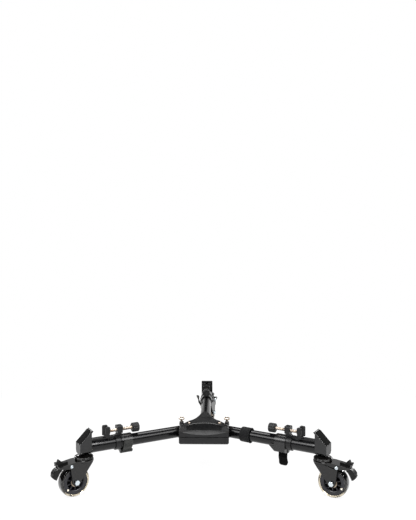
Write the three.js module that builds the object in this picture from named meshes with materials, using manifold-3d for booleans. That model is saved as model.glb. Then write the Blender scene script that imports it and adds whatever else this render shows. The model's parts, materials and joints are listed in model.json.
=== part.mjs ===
// Tripod dolly: a hub with three tubular arms, a braked swivel caster under each arm's end,
// and a screw clamp on each arm that holds one foot of a tripod.
// Millimetres, +Z up. The origin lies under the middle of the whole dolly, on the floor.
import * as THREE from "three";
import { mergeVertices } from "three/addons/utils/BufferGeometryUtils.js";
import Module from "manifold-3d";

const wasm = await Module();
wasm.setup();

// Fits
const seatGap = 0.3;
const turnGap = 0.5;
const cutOverrun = 6;
const weldDistance = 0.0001;

// Stance: x runs out along each arm from the point where the three axes meet
const rearExtraReach = 62.7;
const arms = [
  { side: "left", angle: 210, trail: 8, leverOpen: 0, collarRoll: 0, extra: 0, folds: true },
  { side: "right", angle: 330, trail: 1.2, leverOpen: 144.5, collarRoll: 0, extra: 0, folds: true },
  { side: "rear", angle: 90, trail: -15, leverOpen: 12, collarRoll: 20, extra: rearExtraReach, folds: false },
];

// Arm tubes
const innerTubeRadius = 15;
const innerTubeWall = 1.5;
const innerTubeEnd = 300;
const outerTubeWall = 1.2;
const outerTubeBore = innerTubeRadius + seatGap;
const outerTubeRadius = outerTubeBore + outerTubeWall;

// Fold pivots and lock plungers of the front arms
const pivotBoltRadius = 4;
const pivotHeadRadius = 3.9;
const pivotHeadHeight = 3.4;
const pivotNutAcross = 13;
const pivotNutHeight = 5;
const pivotRecessRadius = 8;
const pivotRecessDepth = 1.6;
const foldTravel = 116;
const knuckleRadius = 12.4;
const tubeStartFromPivot = 14;
const spigotLength = 26;
const armRunGap = 0.5;
const plungerFromPivot = 23;
const plungerFromSide = 4.5122;
const plungerPinRadius = 2.2;
const plungerTipGap = 0.4;
const plungerCapRadius = 8;
const plungerCapHeight = 5.7;
const plungerCapRim = 1.8;
const plungerBossRadius = 5.2;
const plungerBossHeight = 7.5;
const plungerStemRise = 6.1;
const plungerNeckRadius = 3.2;
const indexHoleRadius = 3;
const indexHoleDepth = 8;

// Hub shells
const hubBelowAxis = 19.3;
const hubAboveAxis = 18.7;
const partingBelowAxis = 0.3;
const hubHalfWidth = 66;
const hubFrontReach = 90;
const hubSideEnd = 38;
const hubApex = 96;
const hubEdge = 3;
const hubCornerRadius = 5;
const hubWall = 3;
// Half of the plan behind the side walls: shares of the half width and of the apex's distance
const hubFlankShares = [
  [0.818, -0.182],
  [0.682, -0.01],
  [0.53, 0.104],
  [0.417, 0.26],
  [0.303, 0.49],
  [0.227, 0.729],
  [0.159, 0.875],
  [0.076, 0.969],
];
const gripDepth = 18;
const gripDrop = 5;
const gripSlopeRun = 5.5;
const gripScoopDepth = 7.5;
const gripScoopFromSide = 8;
const fingerFromSide = 19;
const fingerSideDepth = 15;
const fingerArchRise = 24;
const fingerCornerRadius = 4;
const lipWidth = 3;
const lipHeight = 2;
const plateHalfWidth = 15;
const plateLength = 25;
const plateStart = 8;
const plateRecess = 0.8;
const rearTubeStart = -10;

// Lock collar and flip lever
const collarStart = 218.5;
const collarLength = 29.5;
const collarWall = 1.4;
const collarLipLength = 2;
const collarFlange = 2.6;
const lugDrop = 28.5;
const lugCornerDrop = 22.5;
const lugCornerRun = 5;
const earLength = 3;
const earOvershoot = 1.5;
const earRadius = 4.5;
const webTailLength = 13.5;
const webTailDrop = 9;
const leverPinSide = 6.5;
const leverPinDrop = 24.5;
const leverPinRadius = 2;
const leverPinHeadRadius = 3.4;
const leverPinHeadLength = 1.6;
const leverBarrelRadius = 4.2;
const leverCorner = 4;
const leverOverhang = 0.6;
const leverSpan = 40.5;
// Outline of the closed lever from its pin, out along its outer face and back along its inner one:
// shares of its span, across the arm and up
const leverShares = [
  [0.03, -0.02],
  [0.188, 0.165],
  [0.331, 0.343],
  [0.395, 0.548],
  [0.472, 0.679],
  [0.565, 0.807],
  [0.54, 0.84],
  [0.375, 0.79],
  [0.326, 0.679],
  [0.321, 0.556],
  [0.264, 0.373],
  [0.133, 0.22],
  [-0.03, 0.02],
];

// Foot clamp
const bandFromCollar = 3;
const bandLength = 13;
const bandWall = 2.7;
const stemBack = 6.5;
const stemLength = 12;
const stemWidth = 10;
const bossLength = 14;
const bossWidth = 20;
const bossHeight = 19;
const bossCorner = 3;
const screwHeight = 30.9;
const screwRadius = 4;
const screwAboveBoss = 7.2;
const saddleWidth = 16;
const saddleRise = 1.4;
const seatPadRise = 0.4;
const seatPadFromJaw = 2;
const gussetRise = 6;
const gussetLength = 9;
const knobRadius = 12;
const knobLength = 18.5;
const knobFluteDepth = 1.1;
const knobFlutes = 12;
const knobEdge = 1.4;
const knobGrip = 11;
const knobFromBoss = 28;
const jawFromBoss = 21.5;
const jawThickness = 12;
const jawWidth = 30;
const jawHeight = 25;
const jawLift = 0.8;
const jawGrooveWidth = 24;
const jawGrooveDepth = 5;
const jawNotchWidth = 9;
const jawNotchDepth = 5.5;
const jawSocketDepth = 5;
const jawTaper = 3;

// End bracket: cheeks, end plate and the sloped hook plate over the foot
const bracketStart = 328;
const bracketLength = 30;
const cheekThickness = 1.6;
const cheekDrop = 8.3;
const cheekInnerRise = 24.7;
const bracketOuterRise = 11.7;
const hookReach = 40.3;
const hookTipReach = 45;
const hookRecess = 1.2;
const hookThickness = 2.5;
const endPlateThickness = 2.5;
const endPlateDrop = 14.3;
const endPlateCorner = 4.4;

// Caster
const swivelFromBracket = 15.3;
const headRadius = 23.5;
const headHeight = 7.9;
const headNeckRadius = 12;
const headNeckHeight = 2.2;
const headGrooveDepth = 1.2;
const headGrooveHeight = 0.6;
const headRimRun = 1.8;
const kingBoltRadius = 5;
const kingBoltRise = 8.6;
const rivetDrop = 5.7;
const rivetRadius = 8;
const rivetHeight = 2.2;
const wheelRadius = 37.5;
const wheelUnderCrown = 9.1;
const wheelTrail = 27.2;
const tyreWidth = 24;
const tyreDepth = 6.2;
const tyreShoulder = 4;
const coreWidth = 22;
const coreHubRadius = 7;
const coreCollarRadius = 12.6;
const coreWebWidth = 16;
const coreRimRadius = 21;
const coreRimLip = 1;
const spokeCount = 10;
const windowInnerRadius = 13.2;
const windowOuterRadius = 20.4;
const windowAngle = 25;
const axleRadius = 4;
const axleNutAcross = 11.6;
const axleNutLength = 4.4;
const forkWidth = 36;
const forkPlate = 3;
const forkBack = 21;
const forkReach = 71;
const forkTipDrop = 5;
const forkTipDepth = 4.2;
const forkLegFront = 11.8;
const forkHeelHeight = 1.6;
const forkThroatDepth = 12;
const forkThroatRun = 11;
const forkEndRadius = 10;
const forkBackCorner = 8;
const raceRadius = 24.5;
const raceBore = 17;
const raceDrop = 6;
const raceEdge = 1.5;
const brakePivotReach = 40;
const brakePivotDrop = 8.4;
const brakePinRadius = 2.2;
const brakeBossRadius = 3.8;
const brakeHeadRadius = 4;
const brakeHeadLength = 2.6;
const brakeBodyWidth = 10;
const brakeSlotStart = 3.7;
const pedalWidth = 18;
const pedalCorner = 3;
const brakeReach = 42;
const brakeRise = 18;
// Outline of the brake's arm, block, fin and tab from its pivot: shares of its reach and rise
const brakeBodyShares = [
  [0, -0.2],
  [0.19, -0.333],
  [0.571, -0.444],
  [0.7, -0.3],
  [0.726, 0.417],
  [0.86, 0.53],
  [0.86, 0.72],
  [0.71, 0.69],
  [0.667, 1],
  [0.6, 1],
  [0.464, 0.694],
  [0.405, 0.533],
  [0.11, 0.6],
  [0.11, 0.17],
  [0, 0.17],
];
// Outline of the foot pedal from the same pivot: shares of the reach, both ways
const pedalShares = [
  [0.5, -0.19],
  [0.58, -0.24],
  [0.667, -0.36],
  [0.74, -0.5],
  [0.833, -0.68],
  [0.952, -0.593],
  [1.045, -0.47],
  [1.02, -0.27],
  [0.885, -0.1],
  [0.7, -0.015],
  [0.5, -0.05],
];

// Soft strap on the right arm
const strapStart = 117;
const strapLength = 26;
const strapThickness = 3.6;

// Steps round a circle
const coarseSteps = 12;
const roundSteps = 20;
const fineSteps = 32;
const cornerSteps = 4;

const headStack = headHeight + headNeckHeight + 2 * seatGap;
const axisHeight = 2 * wheelRadius + wheelUnderCrown + forkPlate + headStack + outerTubeRadius;
const hubBottom = axisHeight - hubBelowAxis;
const hubTop = axisHeight + hubAboveAxis;
const partingHeight = axisHeight - partingBelowAxis;
const plungerReach = (hubHalfWidth - plungerFromSide) / Math.cos(Math.PI / 6);
const pivotReach = plungerReach - plungerFromPivot;
const gripScoopHalfWidth = hubHalfWidth - gripScoopFromSide;
const fingerHalfWidth = hubHalfWidth - fingerFromSide;
const floorTop = axisHeight - innerTubeRadius - armRunGap;
const coverUnderside = axisHeight + innerTubeRadius + armRunGap;
const headBottom = axisHeight - outerTubeRadius - seatGap - headNeckHeight - headHeight;
const forkTop = headBottom - seatGap;
const outerTubeStart = collarStart + collarLipLength + seatGap;
const bracketOuter = bracketStart + bracketLength;
const outerTubeEnd = bracketOuter - endPlateThickness - seatGap;
const swivelReach = bracketStart + swivelFromBracket;
const bandStart = collarStart + collarLength + bandFromCollar;
const stemStart = bandStart - stemBack;
const stemMiddle = stemStart + stemLength / 2;
const saddleTop = axisHeight + outerTubeRadius + saddleRise;
const screwAxis = axisHeight + screwHeight;
const pivotHole = pivotBoltRadius + seatGap;

const X = new THREE.Vector3(1, 0, 0);
const Y = new THREE.Vector3(0, 1, 0);
const Z = new THREE.Vector3(0, 0, 1);

function radians(degrees) {
  return THREE.MathUtils.degToRad(degrees);
}

function polar(radius, degrees, centre = [0, 0]) {
  const angle = radians(degrees);
  return [centre[0] + radius * Math.cos(angle), centre[1] + radius * Math.sin(angle)];
}

function arc(centre, radius, from, to, steps = cornerSteps) {
  const points = [];
  for (let i = 0; i <= steps; i += 1) {
    points.push(polar(radius, from + ((to - from) * i) / steps, centre));
  }
  return points;
}

// A closed outline from points [x, y, radius], each corner rounded by its radius where it has one.
function rounded(points, steps = cornerSteps) {
  const path = [];
  points.forEach(([x, y, radius = 0], i) => {
    const here = new THREE.Vector2(x, y);
    if (radius === 0) {
      path.push([x, y]);
      return;
    }
    const last = points[(i + points.length - 1) % points.length];
    const next = points[(i + 1) % points.length];
    const back = new THREE.Vector2(last[0], last[1]).sub(here);
    const ahead = new THREE.Vector2(next[0], next[1]).sub(here);
    const run = Math.min(radius / Math.tan(back.angleTo(ahead) / 2), back.length() / 2, ahead.length() / 2);
    const start = back.setLength(run).add(here);
    const end = ahead.setLength(run).add(here);
    const bend = new THREE.QuadraticBezierCurve(start, here, end);
    path.push(...bend.getPoints(steps).map((p) => [p.x, p.y]));
  });
  return path;
}

function shapeOf(points) {
  return new THREE.Shape(points.map(([x, y]) => new THREE.Vector2(x, y)));
}

// A plan outline raised from one height to another.
function upright(points, low, high) {
  const depth = high - low;
  return new THREE.ExtrudeGeometry(shapeOf(points), { depth, bevelEnabled: false }).translate(0, 0, low);
}

// A side outline in x and z, carried across y and centred on a given y.
function sideways(points, width, middle = 0) {
  const across = new THREE.Matrix4().makeBasis(X, Z, Y.clone().negate());
  return upright(points, -width / 2, width / 2).applyMatrix4(across).translate(0, middle, 0);
}

// A cross-section in y and z, carried along x.
function lengthways(points, start, end) {
  const along = new THREE.Matrix4().makeBasis(Y, Z, X);
  return upright(points, start, end).applyMatrix4(along);
}

function circle(radius, centre = [0, 0], steps = roundSteps) {
  return arc(centre, radius, 0, 360 - 360 / steps, steps - 1);
}

function hexagon(across) {
  return arc([0, 0], across / Math.sqrt(3), 0, 300, 5);
}

// A turned piece about z from a profile of [radius, height] points.
function turned(profile, steps = roundSteps) {
  const points = profile.map(([r, h]) => new THREE.Vector2(r, h));
  const closedOnAxis = profile[0][0] === 0 && profile[profile.length - 1][0] === 0;
  if (!closedOnAxis) {
    points.push(points[0].clone());
  }
  const up = new THREE.Matrix4().makeBasis(X, Z, Y.clone().negate());
  const solid = toSolid(new THREE.LatheGeometry(points, steps).applyMatrix4(up), true);
  return toGeometry(solid);
}

function rod(radius, low, high, steps = roundSteps) {
  return upright(circle(radius, [0, 0], steps), low, high);
}

function rodAlongX(radius, start, end, height = 0, side = 0, steps = roundSteps) {
  return lengthways(circle(radius, [side, height], steps), start, end);
}

function rodAlongY(radius, width, centre, steps = roundSteps) {
  return sideways(circle(radius, centre, steps), width);
}

// A tube along x as a ring section.
function pipe(outer, bore, start, end, steps = roundSteps) {
  const along = new THREE.Matrix4().makeBasis(Y, Z, X);
  const ring = [
    [bore, start],
    [outer, start],
    [outer, end],
    [bore, end],
  ];
  return turned(ring, steps).applyMatrix4(along).translate(0, 0, axisHeight);
}

function block(x0, x1, y0, y1, z0, z1) {
  const size = [x1 - x0, y1 - y0, z1 - z0];
  return new THREE.BoxGeometry(...size).translate((x0 + x1) / 2, (y0 + y1) / 2, (z0 + z1) / 2);
}

function toSolid(geometry, mayFlip = false) {
  const bare = new THREE.BufferGeometry();
  bare.setAttribute("position", geometry.getAttribute("position").clone());
  if (geometry.index) {
    bare.setIndex(geometry.index.clone());
  }
  const merged = mergeVertices(bare, weldDistance);
  const corners = merged.index.array;
  const kept = [];
  for (let i = 0; i < corners.length; i += 3) {
    const [a, b, c] = corners.slice(i, i + 3);
    if (a !== b && b !== c && c !== a) {
      kept.push(a, b, c);
    }
  }
  const mesh = { numProp: 3, vertProperties: merged.attributes.position.array };
  const made = new wasm.Manifold(new wasm.Mesh({ ...mesh, triVerts: new Uint32Array(kept) }));
  if (mayFlip && made.volume() < 0) {
    return new wasm.Manifold(new wasm.Mesh({ ...mesh, triVerts: new Uint32Array(kept.reverse()) }));
  }
  return made;
}

function toGeometry(solid) {
  const mesh = solid.getMesh();
  const geometry = new THREE.BufferGeometry();
  geometry.setAttribute("position", new THREE.BufferAttribute(new Float32Array(mesh.vertProperties), 3));
  geometry.setIndex(new THREE.BufferAttribute(new Uint32Array(mesh.triVerts), 1));
  return geometry;
}

function join(first, ...others) {
  return toGeometry(others.reduce((solid, other) => solid.add(toSolid(other)), toSolid(first)));
}

function cut(first, ...tools) {
  return toGeometry(tools.reduce((solid, tool) => solid.subtract(toSolid(tool)), toSolid(first)));
}

function common(first, second) {
  return toGeometry(toSolid(first).intersect(toSolid(second)));
}

const finishes = {
  tube: { color: 0x2b2b2d, roughness: 0.35, metalness: 0.6 },
  plastic: { color: 0x3b3b3c, roughness: 0.6, metalness: 0 },
  painted: { color: 0x3f3f40, roughness: 0.5, metalness: 0.3 },
  gloss: { color: 0x141414, roughness: 0.2, metalness: 0.3 },
  tan: { color: 0xb8a590, roughness: 0.3, metalness: 0.9 },
  zinc: { color: 0xdfe8ee, roughness: 0.25, metalness: 0.9 },
  webbing: { color: 0x161616, roughness: 0.95, metalness: 0 },
  tread: { color: 0x1c1f2b, roughness: 0.25, metalness: 0 },
};

function piece(name, geometry, finish) {
  const flat = geometry.index ? geometry.toNonIndexed() : geometry;
  flat.computeVertexNormals();
  const mesh = new THREE.Mesh(flat, new THREE.MeshStandardMaterial(finishes[finish]));
  mesh.name = name;
  return mesh;
}

function group(parts, place = [0, 0, 0], turn = [0, 0, 0]) {
  const made = new THREE.Group();
  made.add(...parts);
  made.position.set(...place);
  made.rotation.set(...turn);
  return made;
}

function mirrored(points) {
  return points.map(([x, y]) => [-x, y]);
}

function hubPlan() {
  const flank = hubFlankShares.map(([u, v]) => [u * hubHalfWidth, v * hubApex]);
  const left = mirrored(flank).reverse();
  return rounded([
    [-hubHalfWidth, -hubSideEnd, hubCornerRadius],
    [-hubHalfWidth, -hubFrontReach, hubCornerRadius],
    [hubHalfWidth, -hubFrontReach, hubCornerRadius],
    [hubHalfWidth, -hubSideEnd, hubCornerRadius],
    ...flank,
    [0, hubApex],
    ...left,
  ]);
}

// The finger opening in plan: straight along the grip, arched at its back.
function fingerPlan(grow = 0) {
  const half = fingerHalfWidth + grow;
  const front = -hubFrontReach + gripDepth;
  const radius = (fingerHalfWidth ** 2 + fingerArchRise ** 2) / (2 * fingerArchRise);
  const centre = [0, front + fingerSideDepth + fingerArchRise - radius];
  const spread = THREE.MathUtils.radToDeg(Math.asin(half / (radius + grow)));
  const arch = arc(centre, radius + grow, 90 - spread, 90 + spread, roundSteps / 2);
  const corners = rounded([
    arch[arch.length - 1],
    [-half, front, fingerCornerRadius],
    [half, front, fingerCornerRadius],
    arch[0],
  ]);
  return [...corners, ...arch.slice(1, -1)];
}

// The room that a front arm's inner end and tube sweep as the arm folds back.
function sweepRoom(sign) {
  const radius = innerTubeRadius + armRunGap + seatGap + turnGap;
  const pivot = polar(pivotReach, -30);
  const far = hubFrontReach + hubApex;
  const opened = -30;
  const folded = opened + foldTravel;
  const low = polar(radius, opened - 90, pivot);
  const high = polar(radius, folded + 90, pivot);
  const points = [
    polar(far, opened, low),
    polar(2 * far, (opened + folded) / 2, pivot),
    polar(far, folded, high),
    ...arc(pivot, radius, folded + 90, opened + 270, 2 * cornerSteps),
  ];
  return upright(sign < 0 ? mirrored(points) : points, floorTop, coverUnderside);
}

function rearTubeRoom() {
  const turn = new THREE.Matrix4().makeRotationZ(Math.PI / 2);
  const start = rearTubeStart - seatGap;
  return rodAlongX(innerTubeRadius + seatGap, start, hubApex + cutOverrun, axisHeight).applyMatrix4(turn);
}

// The hollow inside the grip and both shoulders beside the finger opening.
function gripHollow() {
  const front = -hubFrontReach + hubWall;
  const back = -hubFrontReach + gripDepth - hubWall;
  const side = hubHalfWidth - hubWall;
  const shoulder = fingerHalfWidth + hubWall;
  const shoulderBack = back + fingerSideDepth;
  const outline = [
    [-side, front],
    [side, front],
    [side, shoulderBack],
    [shoulder, shoulderBack],
    [shoulder, back],
    [-shoulder, back],
    [-shoulder, shoulderBack],
    [-side, shoulderBack],
  ];
  return upright(outline, floorTop, hubTop - gripDrop - gripScoopDepth - hubWall);
}

function pivotPlaces() {
  const [x, y] = [pivotReach * Math.cos(radians(30)), -pivotReach * Math.sin(radians(30))];
  return [[-x, y], [x, y]];
}

function plungerPlaces() {
  return [-1, 1].map((sign) => [
    sign * plungerReach * Math.cos(radians(30)),
    -plungerReach * Math.sin(radians(30)),
  ]);
}

function hubBlank() {
  const options = {
    depth: hubTop - hubBottom - 2 * hubEdge,
    bevelThickness: hubEdge,
    bevelSize: hubEdge,
    bevelOffset: -hubEdge,
    bevelSegments: 1,
  };
  return new THREE.ExtrudeGeometry(shapeOf(hubPlan()), options).translate(0, 0, hubBottom + hubEdge);
}

function hubRooms() {
  return [sweepRoom(-1), sweepRoom(1), rearTubeRoom(), gripHollow()];
}

// The bulk above or below a height, to keep one half of the hub.
function halfSpace(low, high) {
  const reach = hubFrontReach + hubApex;
  return block(-reach, reach, -reach, reach, low, high);
}

// The dished thumb slope along the top of the grip, deepest in the middle of its front edge.
function gripScoop() {
  const radius = (gripScoopHalfWidth ** 2 + gripScoopDepth ** 2) / (2 * gripScoopDepth);
  const gripTop = hubTop - gripDrop;
  const spread = THREE.MathUtils.radToDeg(Math.asin(gripScoopHalfWidth / radius));
  const bowl = arc([0, radius - gripScoopDepth], radius, -90 - spread, -90 + spread, roundSteps / 2);
  const side = hubHalfWidth + cutOverrun;
  const above = hubFrontReach;
  const outline = [...bowl, [side, 0], [side, above], [-side, above], [-side, 0]];
  const slant = new THREE.Matrix4().makeShear(0, 0, 0, gripScoopDepth / gripDepth, 0, 0);
  const run = cutOverrun + gripDepth + gripSlopeRun;
  const tool = sideways(outline, run, run / 2 - cutOverrun).applyMatrix4(slant);
  return tool.translate(0, -hubFrontReach, gripTop);
}

function hubTopCover() {
  const gripTop = hubTop - gripDrop;
  const gripBack = -hubFrontReach + gripDepth;
  const above = hubTop + cutOverrun;
  const frontStep = lengthways(
    [
      [-hubFrontReach - cutOverrun, gripTop],
      [gripBack, gripTop],
      [gripBack + gripSlopeRun + cutOverrun * (gripSlopeRun / gripDrop), above],
      [-hubFrontReach - cutOverrun, above],
    ],
    -hubHalfWidth - cutOverrun,
    hubHalfWidth + cutOverrun,
  );
  const lipFront = -hubFrontReach + gripDepth + fingerSideDepth - lipWidth;
  const lip = common(
    upright(fingerPlan(lipWidth), coverUnderside, hubTop + lipHeight),
    block(-fingerHalfWidth, fingerHalfWidth, lipFront + lipWidth, hubApex, hubBottom, above),
  );
  const bosses = plungerPlaces().map(([x, y]) =>
    rod(plungerBossRadius, coverUnderside, hubTop + plungerBossHeight, coarseSteps).translate(x, y, 0),
  );
  const boltHoles = pivotPlaces().flatMap(([x, y]) => [
    rod(pivotHole, partingHeight, above, coarseSteps).translate(x, y, 0),
    rod(pivotRecessRadius, hubTop - pivotRecessDepth, above).translate(x, y, 0),
  ]);
  const plungerHoles = plungerPlaces().map(([x, y]) =>
    rod(plungerPinRadius + seatGap, partingHeight, hubTop + plungerBossHeight + cutOverrun, coarseSteps)
      .translate(x, y, 0),
  );
  const plateEnd = plateStart + plateLength;
  const plate = block(-plateHalfWidth, plateHalfWidth, plateStart, plateEnd, hubTop - plateRecess, above);
  const upper = common(hubBlank(), halfSpace(partingHeight + seatGap / 2, above));
  const body = join(cut(upper, frontStep), lip, ...bosses);
  const rooms = hubRooms();
  const finger = upright(fingerPlan(), hubBottom, above);
  return cut(body, gripScoop(), finger, ...rooms, ...boltHoles, ...plungerHoles, plate);
}

function hubLowerHousing() {
  const lower = common(hubBlank(), halfSpace(hubBottom - cutOverrun, partingHeight - seatGap / 2));
  const below = hubBottom - cutOverrun;
  const holes = pivotPlaces().map(([x, y]) =>
    rod(pivotHole, below, partingHeight, coarseSteps).translate(x, y, 0),
  );
  return cut(lower, upright(fingerPlan(), below, hubTop), ...hubRooms(), ...holes);
}

// Bolt, low round head and nut of a fold pivot, about its own axis.
function pivotBolt() {
  const headBase = hubTop - pivotRecessDepth + seatGap;
  const nutTop = hubBottom - seatGap;
  const nut = upright(hexagon(pivotNutAcross), nutTop - pivotNutHeight, nutTop);
  const head = turned([
    [0, headBase],
    [pivotHeadRadius, headBase],
    [pivotHeadRadius, headBase + pivotHeadHeight / 2],
    [pivotHeadRadius / 2, headBase + pivotHeadHeight],
    [0, headBase + pivotHeadHeight],
  ]);
  return join(rod(pivotBoltRadius, nutTop - pivotNutHeight, headBase + seatGap, coarseSteps), nut, head);
}

// Spring plunger that locks a front arm: mushroom cap, stem and pin.
function lockPlunger() {
  const tip = axisHeight + innerTubeRadius + plungerTipGap;
  const capBase = hubTop + plungerBossHeight + plungerStemRise;
  const capTop = capBase + plungerCapHeight;
  const neckBase = hubTop + plungerBossHeight + turnGap;
  return turned([
    [0, tip],
    [plungerPinRadius, tip],
    [plungerPinRadius, neckBase],
    [plungerNeckRadius, neckBase],
    [plungerNeckRadius, (neckBase + capBase) / 2],
    [plungerCapRadius - plungerCapRim, capBase],
    [plungerCapRadius, capBase + plungerCapRim],
    [plungerCapRadius, capTop - 2 * plungerCapRim],
    [plungerCapRadius - plungerCapRim / 2, capTop - plungerCapRim],
    [plungerCapRadius / 2, capTop],
    [0, capTop],
  ]);
}

function indexHole() {
  const top = axisHeight + innerTubeRadius;
  const hole = rod(indexHoleRadius, top - indexHoleDepth, top + cutOverrun, coarseSteps);
  return hole.translate(plungerReach, 0, 0);
}

// The arm's inner end: an upright barrel on the pivot bolt and a spigot inside the tube.
function knuckle() {
  const barrel = rod(knuckleRadius, axisHeight - innerTubeRadius, axisHeight + innerTubeRadius);
  const spigotEnd = tubeStartFromPivot + spigotLength;
  const spigot = rodAlongX(innerTubeRadius - innerTubeWall - seatGap, 0, spigotEnd, axisHeight);
  const hole = rod(pivotHole, hubBottom, hubTop, coarseSteps);
  return cut(cut(join(barrel, spigot), hole).translate(pivotReach, 0, 0), indexHole());
}

function innerTube(start, extra, hasIndexHole) {
  const tube = pipe(innerTubeRadius, innerTubeRadius - innerTubeWall, start, innerTubeEnd + extra);
  return hasIndexHole ? cut(tube, indexHole()) : tube;
}

// A point on the hook plate's slope: so far up it from the outer corner, and so deep under it.
function onSlope(along, depth) {
  const x = bracketOuter - (along + depth) * Math.SQRT1_2;
  return [x, axisHeight + bracketOuterRise + (along - depth) * Math.SQRT1_2];
}

// The outer tube, trimmed at its end to go under the hook plate.
function outerTube() {
  const tube = pipe(outerTubeRadius, outerTubeBore, outerTubeStart, outerTubeEnd);
  const boltHole = rod(kingBoltRadius + seatGap, 0, axisHeight, coarseSteps).translate(swivelReach, 0, 0);
  const underHook = hookRecess + hookThickness + seatGap;
  const trim = [
    onSlope(-hookReach, underHook),
    onSlope(-hookReach, -hookReach),
    onSlope(hookReach, underHook),
  ];
  return cut(tube, boltHole, sideways(trim, hubHalfWidth));
}

// Split collar round the outer tube's mouth, with a flat flange, a lug and two ears for the lever.
function lockCollar() {
  const bore = outerTubeRadius + seatGap;
  const radius = bore + collarWall;
  const end = collarStart + collarLength;
  const earEnd = end + earOvershoot;
  const lug = [
    [-radius, 0],
    [-radius, -lugCornerDrop],
    [-radius + lugCornerRun, -lugCornerDrop - lugCornerRun / 2],
    [0, -lugDrop],
    [leverPinSide - leverBarrelRadius - turnGap, -lugDrop],
    [leverPinSide - leverBarrelRadius - turnGap, 0],
  ].map(([y, z]) => [y, z + axisHeight]);
  const pin = [leverPinSide, axisHeight - leverPinDrop];
  const ear = [
    [0, axisHeight - innerTubeRadius],
    [0, axisHeight - lugDrop],
    [leverPinSide, pin[1] - earRadius],
    ...arc(pin, earRadius, -60, 60),
    [leverPinSide - earRadius / 2, axisHeight - innerTubeRadius],
  ];
  const tail = [
    [collarStart - webTailLength, axisHeight - webTailDrop],
    [collarStart, axisHeight - webTailDrop],
    [collarStart + collarFlange, axisHeight],
    [end, axisHeight],
    [end, axisHeight - lugCornerDrop],
    [collarStart, axisHeight - lugCornerDrop],
    [collarStart - webTailLength, axisHeight - webTailDrop - collarWall],
  ];
  const outside = join(
    rodAlongX(radius, collarStart, end, axisHeight, 0, roundSteps),
    lengthways(lug, collarStart, end),
    lengthways(ear, collarStart, collarStart + earLength),
    lengthways(ear, end - earLength, earEnd),
    sideways(tail, collarFlange, -radius + collarFlange / 2),
  );
  const lipEnd = collarStart + collarLipLength;
  const pinHole = leverPinRadius + seatGap;
  return cut(
    outside,
    rodAlongX(outerTubeBore, collarStart - webTailLength - cutOverrun, lipEnd + seatGap, axisHeight),
    rodAlongX(bore, lipEnd, earEnd + cutOverrun, axisHeight),
    rodAlongX(pinHole, collarStart - cutOverrun, earEnd + cutOverrun, pin[1], pin[0], coarseSteps),
  );
}

// Flip lever about its own pin, in its closed place: a wedge that is thickest at its free end.
function lockLever() {
  const outline = leverShares.map(([u, v]) => [u * leverSpan, v * leverSpan]);
  const top = Math.max(...outline.map(([, z]) => z));
  const start = collarStart + earLength + seatGap;
  const end = collarStart + collarLength - earLength - seatGap;
  const clearOfEars = earRadius + turnGap;
  const ears = join(
    rodAlongX(clearOfEars, start - leverOverhang - cutOverrun, start, 0, 0, coarseSteps),
    rodAlongX(clearOfEars, end, end + leverOverhang + cutOverrun, 0, 0, coarseSteps),
  );
  const plan = rounded([
    [start - leverOverhang, -leverBarrelRadius],
    [end + leverOverhang, -leverBarrelRadius],
    [end + leverOverhang, top, leverCorner],
    [start - leverOverhang, top, leverCorner],
  ]);
  const wedge = lengthways(outline, start - leverOverhang, end + leverOverhang);
  const paddle = common(cut(wedge, ears), sideways(plan, 2 * leverSpan));
  const barrel = rodAlongX(leverBarrelRadius, start, end, 0, 0, coarseSteps);
  const hole = rodAlongX(leverPinRadius + seatGap, start - cutOverrun, end + cutOverrun, 0, 0, coarseSteps);
  return cut(join(paddle, barrel), hole);
}

function leverPin() {
  const end = collarStart + collarLength + earOvershoot;
  const headStart = collarStart - seatGap - leverPinHeadLength;
  const shaft = rodAlongX(leverPinRadius, headStart, end, 0, 0, coarseSteps);
  const head = rodAlongX(leverPinHeadRadius, headStart, collarStart - seatGap, 0, 0, coarseSteps);
  return join(shaft, head);
}

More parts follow.
